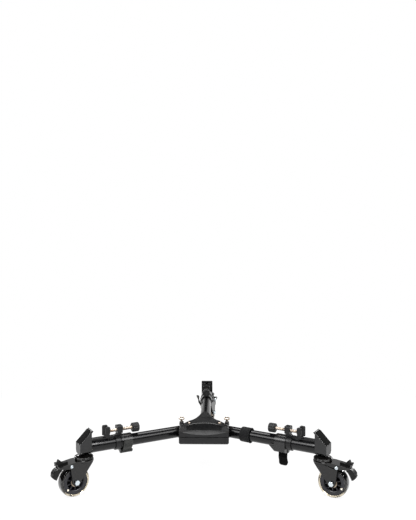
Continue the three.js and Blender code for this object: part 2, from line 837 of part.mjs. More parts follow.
// Band, stem and threaded boss of the foot clamp, with the saddle that the foot stands on.
function clampPost() {
  const bore = outerTubeRadius + seatGap;
  const bossTop = screwAxis + bossHeight - bossHeight / 2 + screwAboveBoss / 4;
  const bossStart = stemMiddle - bossLength / 2;
  const halfBoss = bossWidth / 2;
  const bossOutline = rounded([
    [-halfBoss, bossTop - bossHeight, bossCorner],
    [halfBoss, bossTop - bossHeight, bossCorner],
    [halfBoss, bossTop, bossCorner],
    [-halfBoss, bossTop, bossCorner],
  ]);
  const stemEnd = stemStart + stemLength;
  const halfStem = stemWidth / 2;
  const halfSaddle = saddleWidth / 2;
  const stem = block(stemStart, stemEnd, -halfStem, halfStem, axisHeight, bossTop - bossHeight / 2);
  const saddleEnd = bracketStart - seatGap;
  const saddle = block(stemStart, saddleEnd, -halfSaddle, halfSaddle, axisHeight, saddleTop);
  const padStart = jawStart() + jawThickness + seatPadFromJaw;
  const pad = block(padStart, saddleEnd, -halfSaddle, halfSaddle, axisHeight, saddleTop + seatPadRise);
  const gusset = sideways(
    [
      [stemEnd, saddleTop - saddleRise],
      [stemEnd + gussetLength, saddleTop],
      [stemEnd + gussetLength / 3, saddleTop + gussetRise / 3],
      [stemEnd, saddleTop + gussetRise],
      [stemEnd - stemLength / 2, saddleTop + gussetRise],
      [stemEnd - stemLength / 2, saddleTop - saddleRise],
    ],
    stemWidth,
  );
  const band = rodAlongX(bore + bandWall, bandStart, bandStart + bandLength, axisHeight);
  const bossEnd = bossStart + bossLength;
  const boss = lengthways(bossOutline, bossStart, bossEnd);
  const before = stemStart - cutOverrun;
  const collarRoom = collarStart + collarLength + seatGap;
  return cut(
    join(band, boss, stem, saddle, pad, gusset),
    rodAlongX(bore, before, bracketStart + cutOverrun, axisHeight),
    rodAlongX(bore + collarWall + seatGap, before, collarRoom, axisHeight),
    screwHole(bossStart - cutOverrun, bossEnd + cutOverrun),
    block(before, bandStart, -bossWidth, bossWidth, hubBottom - cutOverrun, axisHeight),
    block(bandStart + bandLength, bracketStart, -bossWidth, bossWidth, hubBottom - cutOverrun, axisHeight),
  );
}

function bossFace() {
  return stemMiddle - bossLength / 2;
}

function jawStart() {
  return bossFace() + bossLength + jawFromBoss;
}

function knobEnd() {
  return bossFace() - knobFromBoss;
}

// Room for the clamp screw, from one place along the arm to another.
function screwHole(start, end) {
  return rodAlongX(screwRadius + seatGap, start, end, screwAxis, 0, coarseSteps);
}

function clampScrew() {
  const end = jawStart() + jawSocketDepth - seatGap;
  return rodAlongX(screwRadius, knobEnd() - knobGrip, end, screwAxis, 0, coarseSteps);
}

function clampKnob() {
  const steps = 3 * knobFlutes;
  const outline = circle(1, [0, 0], steps).map(([u, v], i) => {
    const radius = knobRadius - (i % 3 === 0 ? knobFluteDepth : 0) - knobEdge;
    return [u * radius, v * radius + screwAxis];
  });
  const options = {
    depth: knobLength - 2 * knobEdge,
    bevelThickness: knobEdge,
    bevelSize: knobEdge,
    bevelSegments: 1,
  };
  const along = new THREE.Matrix4().makeBasis(Y, Z, X);
  const start = knobEnd() - knobLength + knobEdge;
  const body = new THREE.ExtrudeGeometry(shapeOf(outline), options);
  body.applyMatrix4(along).translate(start, 0, 0);
  return cut(body, screwHole(knobEnd() - knobGrip - seatGap, knobEnd() + cutOverrun));
}

// Pad on the screw's end: a tapered block with an upright groove that centres a round foot.
function clampJaw() {
  const start = jawStart();
  const end = start + jawThickness;
  const low = saddleTop + jawLift;
  const high = low + jawHeight;
  const half = jawWidth / 2;
  const body = sideways(
    [
      [start + jawTaper, low],
      [end, low],
      [end, high - jawTaper],
      [end - jawTaper / 2, high],
      [start, high],
      [start, low + jawHeight / 2],
    ],
    jawWidth,
  );
  const above = high + cutOverrun;
  const vee = [
    [end - jawGrooveDepth, 0],
    [end + jawGrooveDepth, -jawGrooveWidth],
    [end + jawGrooveDepth, jawGrooveWidth],
  ];
  const groove = upright(vee, low - cutOverrun, above);
  const past = end + cutOverrun;
  const halfNotch = jawNotchWidth / 2;
  const notch = block(start - cutOverrun, past, -halfNotch, halfNotch, high - jawNotchDepth, above);
  const socket = screwHole(start - cutOverrun, start + jawSocketDepth);
  const sides = block(start - cutOverrun, end + cutOverrun, -half, half, low, high);
  return common(cut(body, groove, notch, socket), sides);
}

// Two cheeks beside the tube, the plate across its end and the sloped hook plate.
function endBracket() {
  const inside = outerTubeRadius + seatGap;
  const half = inside + cheekThickness;
  const bottom = axisHeight - cheekDrop;
  const outerTop = axisHeight + bracketOuterRise;
  const tip = onSlope(hookReach, 0);
  const cheek = [
    [bracketStart, bottom],
    [bracketOuter, bottom],
    [bracketOuter, outerTop],
    tip,
    [bracketStart, tip[1] - hookRecess],
    [bracketStart, axisHeight + cheekInnerRise],
  ];
  const beside = inside + cheekThickness / 2;
  const cheeks = [-beside, beside].map((across) => sideways(cheek, cheekThickness, across));
  const hook = sideways(
    [
      onSlope(-endPlateThickness, hookRecess),
      onSlope(hookTipReach, hookRecess),
      onSlope(hookTipReach, hookRecess + hookThickness),
      onSlope(-endPlateThickness, hookRecess + hookThickness),
    ],
    2 * inside + cheekThickness,
  );
  const plateBottom = axisHeight - endPlateDrop;
  const endPlate = lengthways(
    [
      [-half + endPlateCorner, plateBottom],
      [half - endPlateCorner, plateBottom],
      [half, bottom],
      [half, outerTop],
      [-half, outerTop],
      [-half, bottom],
    ],
    bracketOuter - endPlateThickness,
    bracketOuter,
  );
  const start = bracketStart - hookTipReach;
  const outside = block(start, bracketOuter, -half, half, hubBottom, hubTop + hookTipReach);
  return common(join(...cheeks, hook, endPlate), outside);
}

// Fixed half of the swivel: king bolt, two-rimmed race disc and the rivet that carries the fork.
function casterHead() {
  const low = headBottom;
  const high = low + headHeight;
  const middle = (low + high) / 2;
  const neckTop = high + headNeckHeight;
  const rivetTop = low - rivetDrop;
  return turned([
    [0, neckTop + kingBoltRise],
    [kingBoltRadius, neckTop + kingBoltRise],
    [kingBoltRadius, neckTop],
    [headNeckRadius, neckTop],
    [headNeckRadius + headRimRun, high],
    [headRadius - headRimRun, high],
    [headRadius, high - headRimRun],
    [headRadius, middle + headGrooveHeight],
    [headRadius - headGrooveDepth, middle],
    [headRadius, middle - headGrooveHeight],
    [headRadius, low],
    [kingBoltRadius, low],
    [kingBoltRadius, rivetTop],
    [rivetRadius, rivetTop],
    [rivetRadius, rivetTop - rivetHeight],
    [0, rivetTop - rivetHeight],
  ]);
}

// Pressed fork: two legs and a crown that runs out over the brake.
function casterFork() {
  const axle = [wheelTrail, wheelRadius];
  const tipTop = forkTop - forkTipDrop;
  const legFront = wheelTrail + forkLegFront;
  const outline = [
    [-forkBack, forkTop],
    [-forkBack, forkTop - forkHeelHeight],
    ...arc(axle, forkEndRadius, 190, 360, 2 * cornerSteps),
    ...rounded([
      [legFront, forkTop - forkThroatDepth - forkTipDepth, forkThroatRun / 2],
      [legFront + forkThroatRun, forkTop - forkThroatDepth, forkThroatRun / 2],
    ]).slice(1, -1),
    [forkReach, tipTop - forkTipDepth],
    [forkReach, tipTop],
    [brakePivotReach - forkLegFront, forkTop],
  ];
  const inside = forkWidth - 2 * forkPlate;
  const well = [
    [-forkBack - cutOverrun, -cutOverrun],
    [forkReach + cutOverrun, -cutOverrun],
    [forkReach + cutOverrun, tipTop - forkPlate],
    [forkReach, tipTop - forkPlate],
    [brakePivotReach - forkLegFront, forkTop - forkPlate],
    [-forkBack - cutOverrun, forkTop - forkPlate],
  ];
  const half = forkWidth / 2;
  const plan = rounded([
    [-forkBack, -half, forkBackCorner],
    [forkReach, -half, forkPlate],
    [forkReach, half, forkPlate],
    [-forkBack, half, forkBackCorner],
  ]);
  const slotStart = brakePivotReach + brakeSlotStart;
  const slotHalf = brakeBodyWidth / 2 + turnGap;
  const race = turned([
    [raceBore, forkTop - raceDrop],
    [raceRadius - raceEdge, forkTop - raceDrop],
    [raceRadius, forkTop - raceDrop + raceEdge],
    [raceRadius, forkTop - raceEdge],
    [raceRadius - raceEdge, forkTop],
    [raceBore, forkTop],
    [raceBore, forkTop - raceDrop],
  ]);
  const solid = common(sideways(outline, forkWidth), upright(plan, 0, axisHeight));
  const pressed = cut(solid, sideways(well, inside));
  const pin = [brakePivotReach, forkTop - brakePivotDrop];
  return cut(
    join(pressed, race),
    rod(kingBoltRadius + turnGap, 0, axisHeight),
    rodAlongY(axleRadius + seatGap, 2 * forkWidth, axle, coarseSteps),
    rodAlongY(brakePinRadius + seatGap, 2 * forkWidth, pin, coarseSteps),
    block(slotStart, forkReach + cutOverrun, -slotHalf, slotHalf, wheelRadius, axisHeight),
  );
}

function wheelCore() {
  const hubHalf = forkWidth / 2 - forkPlate - seatGap;
  const half = coreWidth / 2;
  const rim = wheelRadius - tyreDepth - seatGap;
  const face = [
    [axleRadius + seatGap, hubHalf],
    [coreHubRadius, hubHalf],
    [coreHubRadius, half],
    [coreCollarRadius, half],
    [coreCollarRadius, coreWebWidth / 2],
    [coreRimRadius, coreWebWidth / 2],
    [coreRimRadius + coreRimLip, half - coreRimLip / 2],
    [rim, half],
  ];
  const back = face.map(([r, h]) => [r, -h]).reverse();
  const onAxle = new THREE.Matrix4().makeBasis(X, Z, Y.clone().negate());
  const body = turned([...face, ...back]).applyMatrix4(onAxle);
  const windows = [];
  for (let i = 0; i < spokeCount; i += 1) {
    const middle = (i * 360) / spokeCount;
    const outline = [
      ...arc([0, 0], windowInnerRadius, middle - windowAngle / 2, middle + windowAngle / 2, 1),
      ...arc([0, 0], windowOuterRadius, middle + windowAngle / 2, middle - windowAngle / 2, 2),
    ];
    windows.push(sideways(outline, 2 * coreWidth));
  }
  return cut(body, ...windows).translate(wheelTrail, 0, wheelRadius);
}

function tyre() {
  const bore = wheelRadius - tyreDepth;
  const half = tyreWidth / 2;
  const crown = [
    [bore, half],
    [wheelRadius - tyreShoulder / 2, half - tyreShoulder / 4],
    [wheelRadius - tyreShoulder / 8, half - tyreShoulder],
    [wheelRadius, half - 2 * tyreShoulder],
  ];
  const back = crown.map(([r, h]) => [r, -h]).reverse();
  const onAxle = new THREE.Matrix4().makeBasis(X, Z, Y.clone().negate());
  return turned([...crown, ...back], fineSteps).applyMatrix4(onAxle).translate(wheelTrail, 0, wheelRadius);
}

// Axle bolt with its head, shaft and nut.
function axleBolt() {
  const half = forkWidth / 2 + seatGap;
  const place = [wheelTrail, wheelRadius];
  const hex = hexagon(axleNutAcross).map(([x, z]) => [x + place[0], z + place[1]]);
  const ends = [-1, 1].map((sign) => sideways(hex, axleNutLength, sign * (half + axleNutLength / 2)));
  return join(rodAlongY(axleRadius, 2 * (half + axleNutLength), place, coarseSteps), ...ends);
}

// One moulded lever: arm, block, fin and tab between the fork's sides, and the wide foot pedal.
function brakePedal() {
  const body = sideways(brakeBodyShares.map(([u, v]) => [u * brakeReach, v * brakeRise]), brakeBodyWidth);
  const boss = rodAlongY(brakeBossRadius, brakeBodyWidth, [0, 0], coarseSteps);
  const outline = pedalShares.map(([u, v]) => [u * brakeReach, v * brakeReach]);
  const half = pedalWidth / 2;
  const far = Math.max(...outline.map(([x]) => x));
  const plan = rounded([
    [0, -half],
    [far, -half, pedalCorner],
    [far, half, pedalCorner],
    [0, half],
  ]);
  const pedal = common(sideways(outline, pedalWidth), upright(plan, -brakeReach, brakeReach));
  const hole = rodAlongY(brakePinRadius + seatGap, 2 * pedalWidth, [0, 0], coarseSteps);
  return cut(join(body, boss, pedal), hole).translate(brakePivotReach, 0, forkTop - brakePivotDrop);
}

function brakePin() {
  const half = forkWidth / 2 + seatGap;
  const place = [brakePivotReach, forkTop - brakePivotDrop];
  const shaft = rodAlongY(brakePinRadius, 2 * half + brakeHeadLength, place, coarseSteps);
  const outline = circle(brakeHeadRadius, place, coarseSteps);
  const beside = half + brakeHeadLength / 2;
  const heads = [-beside, beside].map((across) => sideways(outline, brakeHeadLength, across));
  return join(shaft, ...heads);
}

function caster(side) {
  return [
    piece(`${side}_caster_fork`, casterFork(), "painted"),
    piece(`${side}_wheel_core`, wheelCore(), "plastic"),
    piece(`${side}_tyre`, tyre(), "tread"),
    piece(`${side}_axle_bolt`, axleBolt(), "zinc"),
    piece(`${side}_brake_pedal`, brakePedal(), "gloss"),
    piece(`${side}_brake_pin`, brakePin(), "zinc"),
  ];
}

// The collar with its lever and pin, rolled round the tube to where it was set.
function collarGroup({ side, leverOpen, collarRoll }) {
  const leverPlace = [0, leverPinSide, axisHeight - leverPinDrop];
  const parts = [
    piece(`${side}_lock_collar`, lockCollar(), "plastic"),
    group([piece(`${side}_lock_lever`, lockLever(), "plastic")], leverPlace, [-radians(leverOpen), 0, 0]),
    group([piece(`${side}_lever_pin`, leverPin(), "zinc")], leverPlace),
  ];
  return group([group(parts, [0, 0, -axisHeight])], [0, 0, axisHeight], [radians(collarRoll), 0, 0]);
}

// Everything that slides with the outer tube of one arm.
function outerArm(values) {
  const { side, trail, extra } = values;
  const swivelPlace = [swivelReach, 0, 0];
  return group(
    [
      piece(`${side}_outer_tube`, outerTube(), "tube"),
      collarGroup(values),
      piece(`${side}_clamp_post`, clampPost(), "painted"),
      piece(`${side}_clamp_screw`, clampScrew(), "tan"),
      piece(`${side}_clamp_knob`, clampKnob(), "plastic"),
      piece(`${side}_clamp_jaw`, clampJaw(), "plastic"),
      piece(`${side}_end_bracket`, endBracket(), "painted"),
      group([piece(`${side}_caster_head`, casterHead(), "gloss")], swivelPlace),
      group(caster(side), swivelPlace, [0, 0, radians(trail)]),
    ],
    [extra, 0, 0],
  );
}

function arm(values) {
  const { side, angle, extra, folds } = values;
  const start = folds ? pivotReach + tubeStartFromPivot : rearTubeStart;
  const parts = [piece(`${side}_inner_tube`, innerTube(start, extra, folds), "tube"), outerArm(values)];
  if (folds) {
    parts.push(piece(`${side}_knuckle`, knuckle(), "painted"));
  }
  if (side === "right") {
    const strapBore = innerTubeRadius + seatGap;
    const strap = pipe(strapBore + strapThickness, strapBore, strapStart, strapStart + strapLength);
    parts.push(piece("right_strap", strap, "webbing"));
  }
  return group(parts, [0, 0, 0], [0, 0, radians(angle)]);
}

function hub() {
  const names = ["left", "right"];
  const bolts = pivotPlaces().map(([x, y], i) =>
    group([piece(`${names[i]}_pivot_bolt`, pivotBolt(), "tan")], [x, y, 0]),
  );
  const plungers = plungerPlaces().map(([x, y], i) =>
    group([piece(`${names[i]}_lock_plunger`, lockPlunger(), "tan")], [x, y, 0]),
  );
  const covers = [
    piece("hub_top_cover", hubTopCover(), "plastic"),
    piece("hub_lower_housing", hubLowerHousing(), "plastic"),
  ];
  return group([...covers, ...bolts, ...plungers]);
}

const dolly = group([hub(), ...arms.map(arm)]);
dolly.updateMatrixWorld(true);
const extent = new THREE.Box3().setFromObject(dolly, true);
const middle = extent.getCenter(new THREE.Vector3());
dolly.position.set(-middle.x, -middle.y, -extent.min.z);

export default group([dolly]);
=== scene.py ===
"""Looks of a folding tripod dolly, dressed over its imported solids.

Every shape is worked out in millimetres in one of the object's own places (the hub, an arm, a
caster) and then laid into the row frame in metres. Each CAD solid gets either a smooth surface
built from a formula, or a copy of itself with its sharp edges rounded. A turned shape is given as a
profile of points (distance along its axis, radius), a bent one as a path and a section.
"""

import json
import math

import bmesh
import bpy
import numpy as np
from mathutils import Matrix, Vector

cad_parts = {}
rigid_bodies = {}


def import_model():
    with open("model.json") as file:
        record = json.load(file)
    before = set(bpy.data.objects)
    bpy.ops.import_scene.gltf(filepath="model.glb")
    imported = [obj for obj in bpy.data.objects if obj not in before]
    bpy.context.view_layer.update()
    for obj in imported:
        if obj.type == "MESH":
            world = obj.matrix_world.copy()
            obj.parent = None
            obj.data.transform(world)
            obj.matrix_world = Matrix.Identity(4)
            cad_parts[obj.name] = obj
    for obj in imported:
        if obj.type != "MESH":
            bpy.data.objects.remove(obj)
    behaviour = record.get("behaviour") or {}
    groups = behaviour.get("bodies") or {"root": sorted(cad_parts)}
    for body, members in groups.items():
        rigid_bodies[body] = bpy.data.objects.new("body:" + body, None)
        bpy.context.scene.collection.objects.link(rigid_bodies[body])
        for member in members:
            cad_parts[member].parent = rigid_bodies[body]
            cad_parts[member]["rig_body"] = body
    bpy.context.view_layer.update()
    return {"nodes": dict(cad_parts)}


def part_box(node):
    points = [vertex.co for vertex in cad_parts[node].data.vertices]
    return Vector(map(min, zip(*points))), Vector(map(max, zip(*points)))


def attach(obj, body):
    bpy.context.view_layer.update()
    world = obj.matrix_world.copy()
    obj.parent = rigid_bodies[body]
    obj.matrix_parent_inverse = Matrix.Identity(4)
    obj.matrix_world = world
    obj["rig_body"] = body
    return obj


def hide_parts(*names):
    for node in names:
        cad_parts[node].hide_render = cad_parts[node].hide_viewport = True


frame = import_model()

MM = 0.001

# Driving sizes, in millimetres

# The arms' axis over the floor
AXIS_HEIGHT = 114.3
# Fold pivots and lock plungers, out along the front arms from the point where the arms meet, and
# how far those arms slant to the front, in degrees
PIVOT_REACH = 48.0
PLUNGER_REACH = 71.0
FRONT_SLANT = 30.0
# The hub's outline round the grip: half its width, its front and its corner's radius; and the
# height of the seam between its halves
HUB_HALF, HUB_FRONT, HUB_CORNER = 66.0, 90.0, 5.0
SEAM = 114.2
# Tubes: radius, bore and ends
INNER_RADIUS, INNER_BORE, INNER_END = 15.0, 13.5, 300.0
OUTER_RADIUS, OUTER_BORE = 16.5, 15.3
OUTER_START, OUTER_END = 220.8, 346.5
# The webbing strap: its middle along the arm, half its width, half its thickness, middle radius
STRAP_MIDDLE, STRAP_HALF, STRAP_THICK, STRAP_RADIUS = 130.0, 13.0, 1.75, 17.3
# Foot clamp: the screw's axis over the floor, its ends, radius, pitch and thread depth; and its
# knob's inner end, length, radius, number of flutes and their depth
SCREW_HEIGHT = 145.2
SCREW_ENDS, SCREW_RADIUS, SCREW_PITCH, THREAD_DEPTH = (204.5, 283.5), 4.0, 1.25, 0.55
KNOB_START, KNOB_LENGTH, KNOB_RADIUS, KNOB_FLUTES, FLUTE_DEPTH = 197.0, 18.5, 12.0, 12, 1.1
# The flip lever: its pin across and below the arm's axis, its middle along the arm
LEVER_PIN = (6.5, -24.5)
LEVER_MIDDLE = 233.25
# Caster: the swivel axis along the arm; from that axis, the wheel's axle and the brake's pivot; the
# plugs' distance from the axle, and the number of spokes
SWIVEL = 343.3
WHEEL_RADIUS = 37.5
AXLE = (27.2, 0.0, WHEEL_RADIUS)
BRAKE_PIVOT = (40.0, 0.0, 78.7)
PLUG_REACH = 25.8
SPOKES = 10

# Each arm's direction, how far its caster trails to a side, how its collar is rolled, how far its
# lever hangs open and where its core's plugs stand, in degrees, and its extra reach
ARMS = {
    "left": {"angle": 180.0 + FRONT_SLANT, "reach": 0.0, "trail": 8.0, "roll": 0.0, "open": 0.0,
             "plugs": -40.0},
    "right": {"angle": 360.0 - FRONT_SLANT, "reach": 0.0, "trail": 1.2, "roll": 0.0, "open": 144.5,
              "plugs": -25.6},
    "rear": {"angle": 90.0, "reach": 62.7, "trail": -15.0, "roll": 20.0, "open": 12.0,
             "plugs": 20.0},
}


# Places


def turn_about_z(degrees):
    """The 3 x 3 turn by an angle about the upright axis."""
    c, s = math.cos(math.radians(degrees)), math.sin(math.radians(degrees))
    return np.array([[c, -s, 0.0], [s, c, 0.0], [0.0, 0.0, 1.0]])


class Place:
    """Own axes and origin: millimetres in the place become metres in the row frame."""

    def __init__(self, turn, origin):
        self.turn = np.asarray(turn, float)
        self.origin = np.asarray(origin, float)

    def points(self, local):
        return (np.asarray(local, float) @ self.turn.T + self.origin) * MM

    def own(self, points):
        """The other way: points of the row frame, in metres, as millimetres in the place."""
        return (np.asarray(points, float) / MM - self.origin) @ self.turn

    def inside(self, degrees, local_origin=(0, 0, 0)):
        """A place turned further, with its origin at a point of this one."""
        origin = self.origin + self.turn @ np.asarray(local_origin, float)
        return Place(self.turn @ turn_about_z(degrees), origin)


def hub_place():
    """x to the right and y to the back, from the point where the three arms meet: the fold pivots
    stand half their reach in front of it."""
    corners = [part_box(f"{side}_pivot_bolt") for side in ("left", "right")]
    middle = np.mean([np.add(low, high) / 2 for low, high in corners], axis=0) / MM
    return Place(np.eye(3), (middle[0], middle[1] + PIVOT_REACH / 2, 0.0))


HUB = hub_place()


def arm_place(side, outer=True):
    """x runs out along the arm from the point where the arms meet, or, for what sits on the outer
    tube, from as far out as the arm's extra reach."""
    spec = ARMS[side]
    return HUB.inside(spec["angle"]).inside(0.0, (spec["reach"] if outer else 0.0, 0, 0))


def caster_place(side):
    """x runs along the caster's trail from its swivel axis, z up from the floor."""
    return arm_place(side).inside(ARMS[side]["trail"], (SWIVEL, 0, 0))


# Surfaces


def grid_faces(rows, columns, wrap_rows=False, wrap_columns=False):
    """Quads over a grid of points: a cell joins (i, j) to (i, j+1), (i+1, j+1) and (i+1, j)."""
    index = np.arange(rows * columns).reshape(rows, columns)
    if wrap_rows:
        index = np.vstack([index, index[:1]])
    if wrap_columns:
        index = np.hstack([index, index[:, :1]])
    a, b = index[:-1, :-1], index[:-1, 1:]
    c, d = index[1:, 1:], index[1:, :-1]
    return np.stack([a, b, c, d], axis=-1).reshape(-1, 4)


def circle_steps(count):
    """So many equal steps of a full turn, from angle 0."""
    return np.linspace(0, 2 * math.pi, count, endpoint=False)


def soften_corners(points, fillet, steps=4, closed=True):
    """Each corner becomes a short curve over its fillet's run:
    (1-t)^2 start + 2t(1-t) corner + t^2 end."""
    p = np.asarray(points, float)
    run = np.broadcast_to(np.asarray(fillet, float), len(p)).copy()
    back, ahead = np.roll(p, 1, axis=0) - p, np.roll(p, -1, axis=0) - p
    if not closed:
        run[[0, -1]] = 0.0
    length_back, length_ahead = np.linalg.norm(back, axis=1), np.linalg.norm(ahead, axis=1)
    run = np.minimum(run, 0.45 * np.minimum(length_back, length_ahead))
    start = p + back * (run / np.maximum(length_back, 1e-9))[:, None]
    end = p + ahead * (run / np.maximum(length_ahead, 1e-9))[:, None]
    t = np.linspace(0, 1, steps)[None, :, None]
    curve = (1 - t) ** 2 * start[:, None] + 2 * t * (1 - t) * p[:, None] + t**2 * end[:, None]
    return curve.reshape(-1, p.shape[1])


def both_sides(half):
    """A profile and its mirror image along the axis, joined at the profile's last point."""
    return [(-along, radius) for along, radius in half] + half[::-1]


def turned(profile, centre, axis, steps, fillet, closed=True):
    """A turned surface: profile points (along, radius) carried round, at along on the axis and
    radius * (cos a, sin a) across it."""
    path = soften_corners(profile, fillet, closed=closed)
    angle = circle_steps(steps)
    along = np.repeat(path[:, :1], steps, axis=1)
    u, v = path[:, 1:] * np.cos(angle), path[:, 1:] * np.sin(angle)
    order = {"x": (along, u, v), "y": (v, along, u), "z": (u, v, along)}[axis]
    points = np.stack(order, axis=-1).reshape(-1, 3) + np.asarray(centre, float)
    return points, grid_faces(len(path), steps, wrap_rows=closed, wrap_columns=True)


def closed_rings(rings):
    """Rings of points, one after the other, with both ends closed on the end rings' middles."""
    ends = [np.broadcast_to(ring.mean(axis=0), (1, *ring.shape)) for ring in (rings[0], rings[-1])]
    rings = np.concatenate([ends[0], rings, ends[1]])
    return rings.reshape(-1, 3), grid_faces(len(rings), rings.shape[1], wrap_columns=True)


def swept(path, section, across=(0, 1, 0)):
    """A section (u, v) carried along a path: point = path + u * across + v * normal, where the
    normal is square to the path and to across."""
    p, s = np.asarray(path, float), np.asarray(section, float)
    side = np.asarray(across, float)
    normal = np.cross(np.gradient(p, axis=0), side)
    normal /= np.linalg.norm(normal, axis=1)[:, None]
    return closed_rings(p[:, None] + s[None, :, :1] * side + s[None, :, 1:] * normal[:, None])


def rounded_bar(width, height, corner):
    """A rectangle about the origin with its corners softened."""
    w, h = width / 2, height / 2
    return soften_corners([(-w, -h), (w, -h), (w, h), (-w, h)], corner)


def smooth_line(points, count):
    """A curve through the points: each coordinate is interpolated over the running length by cubic
    Hermite pieces with central slopes."""
    p = np.asarray(points, float)
    knots = running_length(p)
    slopes = np.gradient(p, knots, axis=0)
    t = np.linspace(0, knots[-1], count)
    i = np.clip(np.searchsorted(knots, t, side="right") - 1, 0, len(p) - 2)
    h = (knots[i + 1] - knots[i])[:, None]
    u = (t - knots[i])[:, None] / h
    a, b = 2 * u**3 - 3 * u**2 + 1, u**3 - 2 * u**2 + u
    c, d = -2 * u**3 + 3 * u**2, u**3 - u**2
    return a * p[i] + b * h * slopes[i] + c * p[i + 1] + d * h * slopes[i + 1]


def running_length(points):
    """How far along a line of points each one lies."""
    return np.concatenate([[0], np.cumsum(np.linalg.norm(np.diff(points, axis=0), axis=1))])


def corner_spots(mesh):
    """A mesh's points in the row frame, in metres."""
    spots = np.zeros(len(mesh.vertices) * 3)
    mesh.vertices.foreach_get("co", spots)
    return spots.reshape(-1, 3)


def keep_own(mesh, local):
    """Keeps where each point is in its own place, in metres, as the attribute "own"."""
    layer = mesh.attributes.new("own", "FLOAT_VECTOR", "POINT")
    layer.data.foreach_set("vector", (np.asarray(local, float) * MM).ravel())


# Points this near each other become one, and an edge this short goes, in metres
WELD, SHORTEST = 2e-6, 1e-7


def piece(name, shells, place, body, finish, replaced=(), sharp=38):
    """One object from one or more shells of (points, quads), laid into the row frame by its
    place."""
    starts = np.cumsum([0] + [len(points) for points, _ in shells[:-1]])
    local = np.concatenate([points for points, _ in shells])
    faces = np.concatenate([f + start for (_, f), start in zip(shells, starts)])
    mesh = bpy.data.meshes.new(name)
    mesh.from_pydata(place.points(local).tolist(), [], faces.tolist())
    keep_own(mesh, local)
    work = bmesh.new()
    work.from_mesh(mesh)
    bmesh.ops.remove_doubles(work, verts=work.verts, dist=WELD)
    bmesh.ops.dissolve_degenerate(work, edges=work.edges, dist=SHORTEST)
    bmesh.ops.recalc_face_normals(work, faces=work.faces)
    work.to_mesh(mesh)
    work.free()
    return dress(bpy.data.objects.new(name, mesh), body, finish, replaced, sharp)


def dress(made, body, finish, replaced, sharp):
    """Shades a new object, with edges sharper than so many degrees kept sharp, gives it its
    material, and lets it ride its body and stand for its solid."""
    bpy.context.scene.collection.objects.link(made)
    made.data.polygons.foreach_set("use_smooth", np.ones(len(made.data.polygons), bool))
    made.data.set_sharp_from_angle(angle=math.radians(sharp))
    made.data.materials.append(finish)
    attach(made, body)
    if replaced:
        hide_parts(replaced)
    return made


def eased(solid, finish, place, width, segments=3, corner=28, split=False):
    """A copy of a CAD solid: its triangles joined into flat faces, and every sharp edge rounded
    over a real edge radius in millimetres. Split faces are cut into even triangles again, where a
    flat face has a hole."""
    source = frame["nodes"][solid]
    mesh = source.data.copy()
    mesh.materials.clear()
    work = bmesh.new()
    work.from_mesh(mesh)
    bmesh.ops.remove_doubles(work, verts=work.verts, dist=WELD)
    flat = math.radians(1.0)
    bmesh.ops.dissolve_limit(work, angle_limit=flat, verts=work.verts, edges=work.edges)
    if split:
        bmesh.ops.triangulate(work, faces=work.faces[:], ngon_method="BEAUTY")
    work.to_mesh(mesh)
    work.free()
    keep_own(mesh, place.own(corner_spots(mesh)))
    made = bpy.data.objects.new(solid + "_eased", mesh)
    dress(made, source["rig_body"], finish, solid, corner)
    bevel = made.modifiers.new("edges", "BEVEL")
    bevel.width = width * MM
    bevel.segments = segments
    bevel.limit_method = "ANGLE"
    bevel.angle_limit = math.radians(corner)
    bevel.use_clamp_overlap = True
    even = made.modifiers.new("flat faces", "WEIGHTED_NORMAL")
    even.keep_sharp = True
    return made


# Finishes


def hex_colour(value):
    """An sRGB hex colour as the linear colour that the shader takes."""
    s = np.array([int(value[i : i + 2], 16) / 255 for i in (1, 3, 5)])
    linear = np.where(s > 0.04045, ((s + 0.055) / 1.055) ** 2.4, s / 12.92)
    return (*linear.tolist(), 1.0)


def node(tree, kind, inputs=(), **settings):
    """Adds a node; an input given as a socket is linked, and any other is set on the node."""
    made = tree.nodes.new("ShaderNode" + kind)
    for key, value in settings.items():
        setattr(made, key, value)
    for key, value in dict(inputs).items():
        if isinstance(value, bpy.types.NodeSocket):
            tree.links.new(value, made.inputs[key])
        else:
            made.inputs[key].default_value = value
    return made


# The noise values over which one of a finish's two colours, and of its two roughnesses, passes into
# the other
COLOUR_SPAN, ROUGH_SPAN = (0.32, 0.68), (0.3, 0.7)


